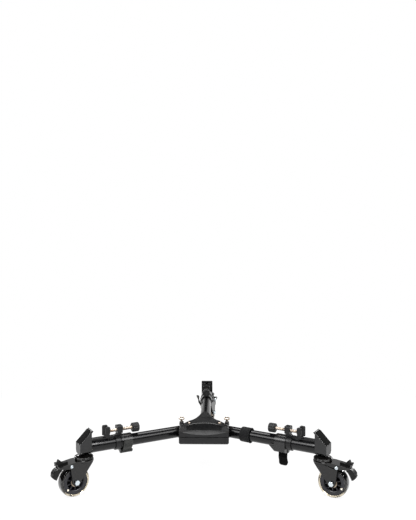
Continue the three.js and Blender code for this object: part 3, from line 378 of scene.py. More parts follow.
def finish(name, shades, rough, patch_mm, grain, relief_mm, shader=(), drawn=None):
    """A moulded, painted or plated surface. shades are its two near colours, mixed in soft patches
    of patch_mm; rough is its lowest and highest roughness over the same patches; grain is the kind
    of fine pattern that raises relief_mm of bump, with its size in mm. drawn, if given, is the
    length in mm to which patches and grain are drawn out along the piece's own x."""
    material = bpy.data.materials.new(name)
    material.use_nodes = True
    tree = material.node_tree
    base = tree.nodes["Principled BSDF"]
    for key, value in dict(shader).items():
        base.inputs[key].default_value = value
    if drawn:
        where = node(tree, "Attribute", attribute_name="own").outputs["Vector"]
    else:
        where = node(tree, "TexCoord").outputs["Object"]

    kind, grain_mm = grain
    spots = []
    for size_mm in (patch_mm, grain_mm):
        shares = [1 / (length * MM) for length in (drawn or size_mm, size_mm, size_mm)]
        spots.append(node(tree, "Mapping", {"Vector": where, "Scale": shares}).outputs["Vector"])
    patches = node(tree, "TexNoise", {"Vector": spots[0], "Scale": 1.0, "Detail": 3.0,
                                      "Roughness": 0.6}).outputs["Fac"]
    ramp = node(tree, "ValToRGB", {"Fac": patches})
    for stop, spot, shade in zip(ramp.color_ramp.elements, COLOUR_SPAN, shades):
        stop.position = spot
        stop.color = hex_colour(shade)
    tree.links.new(ramp.outputs["Color"], base.inputs["Base Color"])
    level = node(tree, "MapRange", {"Value": patches, "From Min": ROUGH_SPAN[0],
                                    "From Max": ROUGH_SPAN[1], "To Min": rough[0],
                                    "To Max": rough[1]})
    tree.links.new(level.outputs["Result"], base.inputs["Roughness"])
    soft = kind == "TexNoise"
    fields = {"Vector": spots[1], "Scale": 1.0} | ({"Detail": 2.0} if soft else {})
    height = node(tree, kind, fields).outputs["Fac" if soft else "Distance"]
    bump = node(tree, "Bump", {"Height": height, "Distance": relief_mm * MM, "Strength": 0.6})
    tree.links.new(bump.outputs["Normal"], base.inputs["Normal"])
    return material


METAL = {"Metallic": 1.0}

# Black gloss lacquer on drawn aluminium tube: nearly black, with one clear streak of light, and
# faint lengthwise draw lines, drawn 3 mm apart because the real ones are too fine to show.
TUBE = finish("lacquered_drawn_aluminium", ("#050506", "#08080a"), (0.20, 0.23), 5.0,
              ("TexNoise", 3.0), 0.0005, {"IOR": 1.5, "Specular IOR Level": 0.38}, 160.0)
# Moulded ABS with a spark-eroded grain: dark grey, dull, with small even pits.
GRAINED = finish("moulded_abs", ("#131314", "#181819"), (0.38, 0.46), 30, ("TexNoise", 1.4), 0.012,
                 {"IOR": 1.53, "Specular IOR Level": 0.3})
# Glass-filled nylon of the collars and the finger opening's bead: black, smooth, with a soft bright
# streak.
NYLON = finish("filled_nylon", ("#09090a", "#101011"), (0.24, 0.30), 12, ("TexNoise", 1.5), 0.002,
               {"IOR": 1.6})
# The same nylon on the levers, moulded dull and handled: mottled dark grey.
HANDLED = finish("handled_nylon", ("#1b1c1b", "#2c2d2b"), (0.42, 0.60), 6, ("TexNoise", 1.2), 0.03,
                 {"IOR": 1.53, "Specular IOR Level": 0.25})
# Powder-coated cast aluminium: dark grey with the faint orange peel of the baked powder.
POWDER = finish("powder_coat", ("#151516", "#1b1b1c"), (0.34, 0.42), 40, ("TexNoise", 1.8), 0.012,
                {"IOR": 1.5})
# The same powder in gloss black on the clamp posts.
CAST = finish("gloss_powder_coat", ("#09090a", "#0e0e0f"), (0.28, 0.36), 40, ("TexNoise", 1.8),
              0.008, {"IOR": 1.5, "Specular IOR Level": 0.36})
# Moulded rubber-like grip of the knobs and jaws: near black, dull.
GRIP = finish("moulded_grip", ("#0c0c0d", "#131314"), (0.44, 0.56), 14, ("TexNoise", 0.9), 0.015,
              {"IOR": 1.5, "Specular IOR Level": 0.36})
# Gloss black stoving enamel on pressed steel, of fork and swivel head: deep, sharply mirroring.
ENAMEL = finish("stoved_enamel", ("#090808", "#0e0d0c"), (0.07, 0.11), 30, ("TexNoise", 4.0),
                0.004, {"IOR": 1.52, "Specular IOR Level": 0.5})
# Polypropylene of the brake's pedal: black, satin.
PEDAL = finish("satin_polypropylene", ("#060606", "#0b0b0a"), (0.36, 0.44), 10, ("TexNoise", 1.2),
               0.01, {"IOR": 1.49, "Specular IOR Level": 0.32})
# Zinc-nickel plate on clamp screws, plunger caps and pivot bolts: warm pale grey, softly shining.
PLATE = finish("zinc_nickel_plate", ("#b5a594", "#d2c6ba"), (0.24, 0.34), 6, ("TexNoise", 0.6),
               0.006, METAL)
# Bright zinc plate on axle bolts, brake pins and hub screws: blue-white, with the bath's bloom.
ZINC = finish("bright_zinc", ("#cfd8de", "#e8f1f6"), (0.16, 0.28), 4, ("TexVoronoi", 0.9), 0.006,
              METAL)
# Ground steel of the bearing rings, tanned by its oil.
BEARING = finish("ground_bearing_steel", ("#b3a28b", "#cdbea8"), (0.24, 0.32), 6,
                 ("TexNoise", 0.6), 0.004, METAL)
# Polypropylene of the wheel cores: dark grey, satin.
CORE = finish("polypropylene_core", ("#151519", "#1d1d23"), (0.28, 0.38), 16, ("TexNoise", 1.2),
              0.02, {"IOR": 1.49})
# Matt black painted shade, put on what lies in shadow: the core's web deep behind its spokes, a
# sheet on a hook plate, the hub's seam, and the whole of an open lever, whose inner face hangs in
# shadow.
PAINTED_SHADE = finish("matt_black_painted_shade", ("#040404", "#080808"), (0.80, 0.90), 12, ("TexNoise", 1.2),
              0.02, {"IOR": 1.49, "Specular IOR Level": 0.1})
# Plugs of the tyre's polyurethane in the core's holes, as an opaque cream: partly its own cream
# tint, partly painted light that shines through them from behind.
PLUG = finish("cream_painted_backlight", ("#ddd4c0", "#ebe4d4"), (0.45, 0.60), 3, ("TexNoise", 0.6), 0.02,
              {"IOR": 1.52})
# Black rubber of the bearings' seals and the pivots' cups, and black lever pins: dull, near black.
SEAL = finish("black_rubber", ("#0b0b0b", "#131313"), (0.40, 0.55), 6, ("TexNoise", 0.8), 0.02,
              {"IOR": 1.52})
# Gloss black acetal of the plungers' bushings.
BUSHING = finish("black_acetal", ("#070708", "#0c0c0d"), (0.14, 0.22), 6, ("TexNoise", 1.0), 0.005,
                 {"IOR": 1.48})
# Cast polyurethane of the tyres: clear, so the dark core shows through its tread, and cream where
# light runs through its rim; a faint flow haze dulls it in patches.
TREAD = finish("cast_polyurethane", ("#dacdb3", "#e2d7bf"), (0.14, 0.20), 14, ("TexNoise", 9.0),
               0.002, {"IOR": 1.22, "Transmission Weight": 1.0, "Coat Weight": 1.0,
                       "Coat Roughness": 0.04, "Coat IOR": 1.5})
# Nylon webbing of the strap: black, dull, with the soft edge light of its fibres.
WEBBING = finish("woven_nylon", ("#050506", "#0c0c0e"), (0.70, 0.85), 6, ("TexNoise", 0.8), 0.05,
                 {"Sheen Weight": 0.04, "Sheen Roughness": 0.5, "Specular IOR Level": 0.2})


def over_core(material, near_mm, far_mm, shade):
    """Darkens a clear tread where the core lies close under it: its colour is multiplied by shade
    up to near_mm from the wheel's middle plane, and left as it is from far_mm on."""
    tree = material.node_tree
    base = tree.nodes["Principled BSDF"]
    own = node(tree, "Attribute", attribute_name="own").outputs["Vector"]
    along = node(tree, "SeparateXYZ", {"Vector": own}).outputs["Y"]
    beside = node(tree, "Math", {0: along}, operation="ABSOLUTE").outputs[0]
    share = node(tree, "MapRange", {"Value": beside, "From Min": near_mm * MM,
                                    "From Max": far_mm * MM})
    tint = node(tree, "ValToRGB", {"Fac": share.outputs["Result"]})
    tint.color_ramp.elements[0].color = hex_colour(shade)
    colour = base.inputs["Base Color"].links[0].from_socket
    mixed = node(tree, "VectorMath", {0: colour, 1: tint.outputs["Color"]}, operation="MULTIPLY")
    tree.links.new(mixed.outputs[0], base.inputs["Base Color"])


# A wave texture at scale s repeats every 0.314 / s.
WAVE_REPEAT = 0.314


def weave(material, thread_mm, relief_mm):
    """Adds a plain weave to a tape: two crossed waves on its own UV map, a thread apart, raise its
    bump."""
    tree = material.node_tree
    base = tree.nodes["Principled BSDF"]
    where = node(tree, "TexCoord").outputs["UV"]
    fields = {"Vector": where, "Scale": WAVE_REPEAT / (thread_mm * MM), "Distortion": 0.3,
              "Detail": 1.0}
    waves = [node(tree, "TexWave", fields, bands_direction=way).outputs["Fac"] for way in "XY"]
    crossed = node(tree, "Math", dict(enumerate(waves)), operation="MULTIPLY")
    bump = node(tree, "Bump", {"Height": crossed.outputs["Value"], "Distance": relief_mm * MM,
                               "Strength": 0.9})
    tree.links.new(bump.outputs["Normal"], base.inputs["Normal"])


over_core(TREAD, near_mm=7.5, far_mm=11.0, shade="#33384a")
# The real thread is about 0.6 mm; 1.6 mm is as fine as shows.
weave(WEBBING, thread_mm=1.6, relief_mm=0.35)


# Hub


def hub_outline(height):
    """The hub's outline at a height, from its left side round the grip's front to its right side:
    straight runs, with a quarter circle at each corner."""
    side_start = -60.0
    arc = np.linspace(0, math.pi / 2, 9)
    x = HUB_CORNER - HUB_HALF - HUB_CORNER * np.cos(arc)
    y = HUB_CORNER - HUB_FRONT - HUB_CORNER * np.sin(arc)
    corner = np.stack([x, y, 0 * arc + height], axis=-1)
    half = np.vstack([[(-HUB_HALF, side_start, height)], corner])
    return np.vstack([half, (half * (-1, 1, 1))[::-1]])


def housing_pieces():
    """Both housing halves; the bead carried along the finger opening's arc, at radius * (cos a,
    sin a) from its middle; and the seam between the halves, carried round the hub's outline: a low
    lip on the lower half, and over it a thin matt black strip, a painted shadow for the seam's gap."""
    eased("hub_top_cover", GRAINED, HUB, 0.9, 4)
    eased("hub_lower_housing", GRAINED, HUB, 2.2, 5)
    turn = np.radians(np.linspace(35.0, 145.0, 49))
    radius, middle, height = 59.5, -91.0, 134.3
    rim = np.stack([radius * np.cos(turn), radius * np.sin(turn) + middle, 0 * turn + height],
                   axis=-1)
    bead = soften_corners([(-1.0, -1.7), (0.2, -1.7), (1.25, 0.4), (1.25, 1.5), (-1.0, 1.5)], 0.25)
    up = (0, 0, 1)
    piece("finger_opening_bead", [swept(rim, bead, up)], HUB, "hub", NYLON)
    lip = [(-1.3, -0.4), (-1.1, 0.35), (-0.1, 0.75), (0.45, 0.55), (0.5, -0.4)]
    lip_line = swept(hub_outline(SEAM - 1.3), soften_corners(lip, 0.2), up)
    piece("hub_seam_lip", [lip_line], HUB, "hub", GRAINED)
    # A thin matt black strip over the seam: a painted shadow for the gap between the halves.
    seam_shadow = swept(hub_outline(SEAM), rounded_bar(1.5, 0.3, 0.05), up)
    piece("hub_seam_painted_shadow", [seam_shadow], HUB, "hub", PAINTED_SHADE)


def plunger_pieces(side, spot):
    """A lock plunger's cap and stem, turned in one, and its bushing on the cover."""
    cap = [(129.7, 0), (129.7, 2.2), (141.0, 2.2), (141.0, 3.1), (143.8, 3.1), (146.3, 6.6),
           (147.4, 8.0), (149.0, 8.0), (150.5, 7.3), (151.9, 6.0), (151.2, 4.6), (150.6, 0)]
    stem = turned(cap, spot, "z", 56, 0.6, closed=False)
    piece(f"{side}_plunger_turned", [stem], HUB, f"{side}_plunger", PLATE,
          f"{side}_lock_plunger")
    sleeve = [(132.9, 5.2), (132.9, 6.9), (134.0, 6.6), (135.2, 5.9), (139.4, 5.9), (140.7, 5.2),
              (140.7, 4.0), (140.45, 3.0), (140.45, 2.6), (140.4, 2.6), (140.4, 5.2)]
    piece(f"{side}_plunger_bushing", [turned(sleeve, spot, "z", 56, 0.4)], HUB, "hub", BUSHING)


def pivot_pieces(side, spot):
    """A fold pivot's bolt, with a dished round head and a six-sided nut, and the cup under its
    head."""
    head = [(131.7, 0), (131.7, 3.9), (133.6, 3.9), (134.7, 3.0), (135.2, 1.7), (134.5, 1.3),
            (134.3, 0)]
    shank = [(89.7, 0), (89.7, 3.4), (90.2, 4.0), (131.8, 4.0), (131.8, 0)]
    nut = [(94.7, 0), (94.7, 6.3), (90.6, 6.9), (89.7, 6.0), (89.7, 0)]
    shells = [turned(profile, spot, "z", steps, fillet, closed=False)
              for profile, steps, fillet in ((head, 40, 0.4), (shank, 24, 0.2), (nut, 6, 0.2))]
    piece(f"{side}_pivot_bolt_turned", shells, HUB, "hub", PLATE, f"{side}_pivot_bolt")
    cup = [(131.45, 4.3), (131.45, 7.8), (131.9, 7.6), (131.9, 4.5)]
    piece(f"{side}_pivot_cup", [turned(cup, spot, "z", 48, 0.15)], HUB, "hub", SEAL)


def hub_pieces():
    """The hub's housing, what stands on its two slanted arm lines, and the screws from below."""
    housing_pieces()
    slant = np.array([math.cos(math.radians(FRONT_SLANT)), -math.sin(math.radians(FRONT_SLANT))])
    for side, sign in (("left", -1), ("right", 1)):
        plunger_pieces(side, (*(PLUNGER_REACH * slant * (sign, 1)), 0))
        pivot_pieces(side, (*(PIVOT_REACH * slant * (sign, 1)), 0))
    dome = [(95.3, 0), (95.3, 3.2), (94.5, 3.2), (93.9, 2.4), (93.8, 1.3), (94.6, 1.1), (94.6, 0)]
    screws = [turned(dome, (x, y, 0), "z", 36, 0.3, closed=False)
              for x, y in ((-55, -80), (55, -80), (-20, 24), (20, 24))]
    piece("hub_screws", screws, HUB, "hub", ZINC)


# Arms


def tube(start, end, radius, bore):
    """A plain tube along x: the wall's section turned about the arm's axis."""
    wall = [(start, bore), (start, radius), (end, radius), (end, bore)]
    return turned(wall, (0, 0, AXIS_HEIGHT), "x", 96, 0.3)


def threaded_rod(start, end, radius, pitch, depth, centre):
    """A threaded rod along x: radius falls by depth times the thread's triangle wave, whose phase
    is the distance along over the pitch less the share of a turn, and by a fifth over the taper at
    each end. Both ends close on the axis."""
    steps, rows_per_pitch, taper = 24, 6, 1.2
    rows = int((end - start) / pitch * rows_per_pitch)
    along = np.linspace(start, end, rows)[:, None]
    angle = circle_steps(steps)[None, :]
    wave = np.abs(2 * ((along / pitch - angle / (2 * math.pi)) % 1) - 1)
    edge = np.clip(np.minimum(along - start, end - along) / taper, 0, 1)
    r = (radius - depth * wave) * (0.8 + 0.2 * edge)
    points = np.stack([along + 0 * angle, r * np.cos(angle), r * np.sin(angle)], axis=-1)
    ends = [np.broadcast_to([[[x, 0.0, 0.0]]], (1, steps, 3)) for x in (start, end)]
    points = np.concatenate([ends[0], points, ends[1]]).reshape(-1, 3)
    return points + np.asarray(centre, float), grid_faces(rows + 2, steps, wrap_columns=True)


def fluted_knob(start, length, radius, flutes, depth, centre):
    """A hand knob along x: radius = R - ease - depth * (1 - cos(flutes * a)) / 2, where ease rounds
    both ends over a quarter circle; its hub end closes flat and its outer end is dished."""
    steps, rows, edge, dish_depth = flutes * 12, 26, 2.4, 1.2
    along = np.linspace(0, 1, rows)[:, None] * length
    angle = circle_steps(steps)[None, :]
    end_run = np.minimum(along, length - along)
    ease = edge - np.sqrt(np.maximum(edge**2 - np.maximum(edge - end_run, 0) ** 2, 0))
    groove = depth * (1 - np.cos(flutes * angle)) / 2 * np.clip(end_run / edge, 0.25, 1)
    core = radius - edge
    dish = [(np.full((1, 1), x), share * core + 0 * angle)
            for x, share in ((dish_depth, 0.0), (dish_depth, 0.66), (0.0, 0.74))]
    back = [(np.full((1, 1), length), share * core + 0 * angle) for share in (0.5, 0.0)]
    rings = [np.stack([x + 0 * angle, r * np.cos(angle), r * np.sin(angle)], axis=-1)
             for x, r in (*dish, (along, radius - ease - groove), *back)]
    points = np.concatenate(rings) + np.array([start, 0.0, 0.0]) + np.asarray(centre, float)
    return points.reshape(-1, 3), grid_faces(len(points), steps, wrap_columns=True)


def turned_over(points, degrees, pivot):
    """Points turned about a line along x through the pivot (y, z)."""
    c, s = math.cos(math.radians(degrees)), math.sin(math.radians(degrees))
    y, z = points[:, 1] - pivot[0], points[:, 2] - pivot[1]
    return np.stack([points[:, 0], c * y - s * z + pivot[0], s * y + c * z + pivot[1]], axis=-1)


def lever_shells(side):
    """The flip lever at rest: a wedge between an inner and an outer curve, thickest near its tip.
    Its half width is 11.2 mm between the ears and 12 mm beyond them, and falls to a rounded end by
    5 - sqrt(5^2 - (5 - d)^2) at a distance d from its tip. Its barrel goes round the pin."""
    spec = ARMS[side]
    outer = smooth_line([(1.2, -0.8), (7.6, 6.7), (13.4, 13.9), (16.0, 22.2), (19.1, 27.5),
                         (22.8, 32.8)], 48)
    inner = smooth_line([(-1.2, 0.8), (5.4, 8.9), (10.7, 15.1), (13.0, 22.5), (13.2, 27.4),
                         (15.0, 32.2)], 48)
    bowed = (outer + inner) / 2
    half_thick = np.linalg.norm(outer - inner, axis=1) / 2
    run = running_length(bowed)
    ears_end, step_run = 5.2, 1.6
    half_width, step, tip = 11.2, 0.8, 5.0
    past_ears = np.clip((run - ears_end) / step_run, 0, 1)
    round_end = tip - np.sqrt(np.maximum(tip**2 - np.maximum(tip - (run[-1] - run), 0) ** 2, 0))
    widths = half_width + step * past_ears - round_end
    section = soften_corners([(-1, -1), (1, -1), (1, 1), (-1, 1)], 0.28, 5)
    across = np.stack([0 * run, *(outer - inner).T / (2 * half_thick)], axis=-1)[:, None]
    middle = np.stack([0 * run + LEVER_MIDDLE, *(bowed + LEVER_PIN).T], axis=-1)[:, None]
    sides = np.array([1.0, 0.0, 0.0]) * (widths[:, None, None] * section[None, :, :1])
    plate = closed_rings(middle + sides
                         + across * (half_thick[:, None, None] * section[None, :, 1:]))
    sleeve = [(221.8, 2.3), (221.8, 4.2), (244.7, 4.2), (244.7, 2.3)]
    barrel = turned(sleeve, (0.0, *LEVER_PIN), "x", 40, 0.4)
    placed = []
    for points, faces in (plate, barrel):
        hanging = turned_over(points, -spec["open"], LEVER_PIN)
        rolled = turned_over(hanging, spec["roll"], (0.0, 0.0))
        placed.append((rolled + np.array([0.0, 0.0, AXIS_HEIGHT]), faces))
    return placed


def hook_painted_shade():
    """A thin matt black sheet on the hook plate, painted shade for the plate's face, which lies in
    shadow. The bracket's slope rises at 45 degrees from its outer corner, the plate's face lies a
    recess under it, and the sheet lies on that face."""
    corner, recess, width, thick = np.array([358.0, 0.0, 126.0]), 1.2, 32.6, 0.5
    slope = np.array([-1.0, 0.0, 1.0]) / math.sqrt(2)
    out = np.array([1.0, 0.0, 1.0])
    start = corner - (recess - thick / 2) / math.sqrt(2) * out
    line = [start + along * slope for along in (1.0, 14.0, 28.0, 41.5)]
    return swept(line, rounded_bar(width, thick, 0.2))


def arm_pieces(side):
    """Both tubes of an arm, its lock collar and lever, and its foot clamp and end bracket."""
    near, far = arm_place(side, outer=False), arm_place(side)
    folds = side != "rear"
    inner_body = f"{side}_arm" if folds else "hub"
    outer_body, screw_body = f"{side}_outer", f"{side}_screw"
    # A front tube starts in its knuckle, and the rear one in the hub.
    inner_start = 62.0 if folds else -10.0
    inner_end = INNER_END + ARMS[side]["reach"]
    piece(f"{side}_inner_tube_drawn", [tube(inner_start, inner_end, INNER_RADIUS, INNER_BORE)],
          near, inner_body, TUBE, f"{side}_inner_tube")
    piece(f"{side}_outer_tube_drawn", [tube(OUTER_START, OUTER_END, OUTER_RADIUS, OUTER_BORE)],
          far, outer_body, TUBE, f"{side}_outer_tube")
    if folds:
        eased(f"{side}_knuckle", POWDER, near, 0.6)
    # An open lever gets matt black painted shade all over, for its inner face hangs in shadow; a
    # closed one shows its handled outer face.
    lever = PAINTED_SHADE if ARMS[side]["open"] > 90 else HANDLED
    piece(f"{side}_lever_moulded", lever_shells(side), far, f"{side}_lever", lever,
          f"{side}_lock_lever")
    eased(f"{side}_lock_collar", NYLON, far, 0.5)
    eased(f"{side}_lever_pin", SEAL, far, 0.3)
    eased(f"{side}_clamp_post", CAST, far, 0.8, 4)
    eased(f"{side}_clamp_jaw", GRIP, far, 0.9, 4)
    eased(f"{side}_end_bracket", POWDER, far, 0.7, 4)
    # A thin matt black sheet on the hook plate: painted shade for its face.
    piece(f"{side}_hook_painted_shade", [hook_painted_shade()], far, outer_body, PAINTED_SHADE)
    centre = (0, 0, SCREW_HEIGHT)
    rod = threaded_rod(*SCREW_ENDS, SCREW_RADIUS, SCREW_PITCH, THREAD_DEPTH, centre)
    piece(f"{side}_clamp_screw_cut", [rod], far, screw_body, PLATE,
          f"{side}_clamp_screw", 60)
    knob = fluted_knob(KNOB_START, KNOB_LENGTH, KNOB_RADIUS, KNOB_FLUTES, FLUTE_DEPTH, centre)
    piece(f"{side}_clamp_knob_moulded", [knob], far, screw_body, GRIP,
          f"{side}_clamp_knob", 50)


def strap_pieces():
    """The webbing strap round the right arm: a thick band and the folded hem that stands up at its
    outer edge. The band's section is a superellipse: half its width times cos(t)^0.35 along the
    arm, and half its thickness times sin(t)^0.55 across it, both with their signs. It is thicker
    by a bell curve over the angle where its ends overlap, and ripples by low sine waves."""
    near = arm_place("right", outer=False)
    rows, steps = 40, 128
    t = circle_steps(rows)[:, None]
    angle = circle_steps(steps)[None, :]
    section_x = STRAP_HALF * np.sign(np.cos(t)) * np.abs(np.cos(t)) ** 0.35
    section_r = STRAP_THICK * np.sign(np.sin(t)) * np.abs(np.sin(t)) ** 0.55
    overlap_middle, overlap_spread = 1.2, 0.5
    overlap = 0.35 * np.exp(-(((angle - overlap_middle) / overlap_spread) ** 2))
    ripple = 0.12 * np.sin(3 * angle + section_x / 5)
    r = STRAP_RADIUS + section_r * (1 + overlap) + 0.25 * overlap + ripple
    x = STRAP_MIDDLE + section_x * (1 + 0.02 * np.sin(2 * angle))
    points = np.stack([x, r * np.cos(angle), r * np.sin(angle)], axis=-1).reshape(-1, 3)
    shell = points + np.array([0, 0, AXIS_HEIGHT]), grid_faces(rows, steps, True, True)
    fold = [(142.6, 17.6), (142.6, 19.7), (144.0, 20.3), (145.4, 19.4), (145.4, 17.0),
            (144.2, 16.4)]
    hem = turned(fold, (0, 0, AXIS_HEIGHT), "x", 96, 0.7)
    band = piece("right_strap_band", [shell], near, "right_arm", WEBBING, "right_strap",
                 60)
    edge = piece("right_strap_hem", [hem], near, "right_arm", WEBBING)
    for made in (band, edge):
        lay_tape(made.data, near)


def lay_tape(mesh, place):
    """A tape's UV map in metres: along the arm, and round the tube at the tape's middle radius."""
    layer = mesh.uv_layers.new(name="UVMap")
    corner = np.zeros(len(mesh.loops), np.int32)
    mesh.loops.foreach_get("vertex_index", corner)
    own = place.own(corner_spots(mesh))
    turn = np.arctan2(own[:, 2] - AXIS_HEIGHT, own[:, 1])
    spread = np.stack([own[:, 0] * MM, turn * STRAP_RADIUS * MM], axis=-1)
    layer.data.foreach_set("uv", spread[corner].ravel())


# Casters


def round_axle(radius, degrees):
    """A point of the wheel's middle plane, at a radius and an angle about its axle."""
    turn = math.radians(degrees)
    return np.asarray(AXLE) + np.array([radius * math.cos(turn), 0.0, radius * math.sin(turn)])


def wheel_core():
    """Rim and hub turned about the axle, joined by spokes, each a bar of softened section, and a
    thin web. The rim is crowned inside the tyre."""
    rim = both_sides([(9.6, 21.0), (11.0, 23.0), (11.0, 30.6), (11.0, 31.2), (8.0, 32.2),
                      (4.0, 33.4)]) + [(0.0, 20.2)]
    hub = both_sides([(14.7, 4.3), (14.7, 7.0), (11.0, 7.2), (11.0, 12.4), (10.2, 12.6),
                      (6.0, 13.2)])
    web = both_sides([(0.8, 12.8), (0.8, 20.6)])
    spoke = rounded_bar(width=15.6, height=2.6, corner=0.6)
    shells = [turned(rim, AXLE, "y", 96, 0.5), turned(hub, AXLE, "y", 72, 0.4)]
    for number in range(SPOKES):
        degrees = 360 / SPOKES * (number + 0.5)
        shells.append(swept([round_axle(radius, degrees) for radius in (12.0, 16.8, 21.5)], spoke))
    return shells, [turned(web, AXLE, "y", 72, 0.1)]


def wheel_pieces(side, place):
    """Core, tyre, bearings, and the plug of tyre rubber that shows in each of the core's faces,
    its cream partly painted light shining through from behind.
    """
    body = f"{side}_wheel"
    solid, web = wheel_core()
    piece(f"{side}_wheel_core_moulded", solid, place, body, CORE,
          f"{side}_wheel_core")
    # The web lies deep behind the spokes and gets matt black painted shade.
    piece(f"{side}_core_web", web, place, body, PAINTED_SHADE)
    crown = both_sides([(10.6, 30.5), (12.0, 31.3), (12.0, 33.4), (11.0, 35.9), (8.2, 37.2),
                        (4.0, WHEEL_RADIUS)])
    piece(f"{side}_tyre_cast", [turned(crown, AXLE, "y", 128, 1.4)], place, body, TREAD,
          f"{side}_tyre", 60)
    plugs, rings, seals = [], [], []
    for face in (-1, 1):
        line = [(face * 10.9, 2.5), (face * 11.3, 2.4), (face * 11.5, 1.6), (face * 11.5, 0.0)]
        spot = round_axle(PLUG_REACH, ARMS[side]["plugs"])
        plugs.append(turned(line, spot, "y", 20, 0.1, closed=False))
        ring = [(face * 10.8, 9.4), (face * 11.7, 9.6), (face * 11.7, 11.6), (face * 10.8, 11.8)]
        rings.append(turned(ring, AXLE, "y", 72, 0.25))
        seal = [(face * 10.8, 7.1), (face * 11.3, 7.1), (face * 11.3, 9.5), (face * 10.8, 9.5)]
        seals.append(turned(seal, AXLE, "y", 72, 0.15))
    piece(f"{side}_wheel_plugs", plugs, place, body, PLUG)
    piece(f"{side}_bearing_rings", rings, place, body, BEARING)
    piece(f"{side}_bearing_seals", seals, place, body, SEAL)


def head_profile():
    """Half section of the swivel head from its bolt's top round to the rivet's underside. The upper
    disc's edge is a quarter ellipse, 8 mm out and 3.7 mm up, and under it the race is a bead: a
    half circle of 1.8 mm."""
    upper = [(91.6 + 3.7 * math.sin(t), 15.5 + 8.0 * math.cos(t))
             for t in np.linspace(math.pi / 2, -0.1, 9)]
    race = [(89.1 + 1.8 * math.sin(t), 21.7 + 1.8 * math.cos(t))
            for t in np.linspace(1.3, -math.pi / 2, 7)]
    return [(106.1, 0.0), (106.1, 5.0), (97.5, 5.0), (97.5, 12.0), *upper, *race, (87.3, 5.0),
            (81.7, 5.0), (81.7, 8.0), (79.5, 8.0), (79.5, 0.0)]


def pedal_ribs():
    """Five low bars across the foot pad, square to the line of its outer face."""
    line = smooth_line([(80.6, 0, 71.0), (83.0, 0, 66.5), (83.9, 0, 59.0), (80.0, 0, 53.8),
                        (75.0, 0, 50.1)], 40)
    section = rounded_bar(width=1.5, height=1.3, corner=0.6)
    half = 7.4
    crossing = np.linspace(-half, half, 5)[:, None] * np.array([[0.0, 1.0, 0.0]])
    ribs = []
    for at in (9, 16, 23, 29, 34):
        towards = line[at + 1] - line[at - 1]
        ribs.append(swept(line[at] + crossing, section, towards / np.linalg.norm(towards)))
    return ribs


def brake_pin():
    """The pin through both cheeks of the fork: a domed head, a six-sided nut and the shaft."""
    dome = [(18.1, 0.0), (18.1, 4.0), (19.4, 3.9), (20.7, 2.4), (20.9, 0.0)]
    nut = [(-18.1, 0.0), (-18.1, 4.6), (-20.1, 4.6), (-20.7, 4.0), (-20.7, 2.4), (-21.3, 1.6),
           (-21.3, 0.0)]
    shaft = [(-18.4, 0.0), (-18.4, 2.2), (18.4, 2.2), (18.4, 0.0)]
    return [turned(profile, BRAKE_PIVOT, "y", steps, fillet, closed=False)
            for profile, steps, fillet in ((dome, 40, 0.4), (nut, 6, 0.2), (shaft, 32, 0.2))]


def caster_pieces(side):
    """Swivel head, fork, wheel, axle bolt and brake of one caster."""
    place = caster_place(side)
    head = turned(head_profile(), (0, 0, 0), "z", 96, 0.6, closed=False)
    piece(f"{side}_caster_head_turned", [head], place, f"{side}_outer", ENAMEL,
          f"{side}_caster_head")
    eased(f"{side}_caster_fork", ENAMEL, place, 1.2, 5, split=True)
    eased(f"{side}_axle_bolt", ZINC, place, 0.6)
    eased(f"{side}_brake_pedal", PEDAL, place, 1.2, 4)
    piece(f"{side}_brake_pin_headed", brake_pin(), place, f"{side}_caster", ZINC,
          f"{side}_brake_pin")
    wheel_pieces(side, place)
    piece(f"{side}_pedal_ribs", pedal_ribs(), place, f"{side}_pedal", PEDAL)


# Light, floor and camera

# The studio round the object: what polished surfaces see of the dark room and of the white panels
# behind it, and the plain fill on everything
ROOM_DARK, BACKDROP, FILL = 0.02, 0.6, 0.24
# The panels' soft edges, as parts of a unit direction: how far back, how high and how far aside
PANELS_BACK, PANELS_TOP, PANELS_ASIDE = (0.68, 0.82), (0.50, 0.42), (0.12, 0.20)
# The paper floor's half width and the distances over which it runs out to white, in metres, how
# white it already looks at the object, and its flecks in millimetres
FLOOR_HALF, FLOOR_FADE, FLOOR_WHITE, FLECK = 12.0, (0.45, 1.1), 0.9, 2.5
# Soft lamps: name, direction from the object as azimuth (0 is the camera's side, + to its right)
# and elevation in degrees, distance, width and height in metres, and watts
LAMPS = (
    ("right_softbox", 58, 36, 2.8, 2.0, 1.1, 34),
    ("left_softbox", -60, 36, 2.8, 2.0, 1.1, 38),
    ("front_softbox", -6, 58, 2.6, 1.2, 0.8, 14),
    ("top_softbox", 180, 66, 2.6, 2.0, 1.2, 38),
    ("right_window", 28, 42, 2.8, 0.6, 0.8, 27),
    ("left_window", -28, 42, 2.8, 0.6, 0.8, 27),
    ("right_rim_light", 131, 21, 2.8, 0.6, 0.3, 15),
    ("left_rim_light", -131, 21, 2.8, 0.6, 0.3, 15),
)
LAMPS_AIM = (0.0, 0.0, 0.1)
# The photograph's viewpoint: focal length and picture's height in pixels, and sensor in
# millimetres; the eye in the hub's place; and how far it looks down and to the left, in degrees
FOCAL_PIXELS, PHOTO_HEIGHT, SENSOR = 601.8, 520, 36.0
EYE = (36.15, -1655.86, 612.23)
PITCH, YAW = 1.21, 0.92


def sight(tree):
    """Two switches: 1 where the camera or glass looks, and 1 where a polished surface looks. Light
    on the object is 0 in both."""
    path = node(tree, "LightPath").outputs
    ways = {0: path["Is Camera Ray"], 1: path["Is Transmission Ray"]}
    seen = node(tree, "Math", ways, operation="MAXIMUM")
    return seen.outputs[0], path["Is Glossy Ray"]


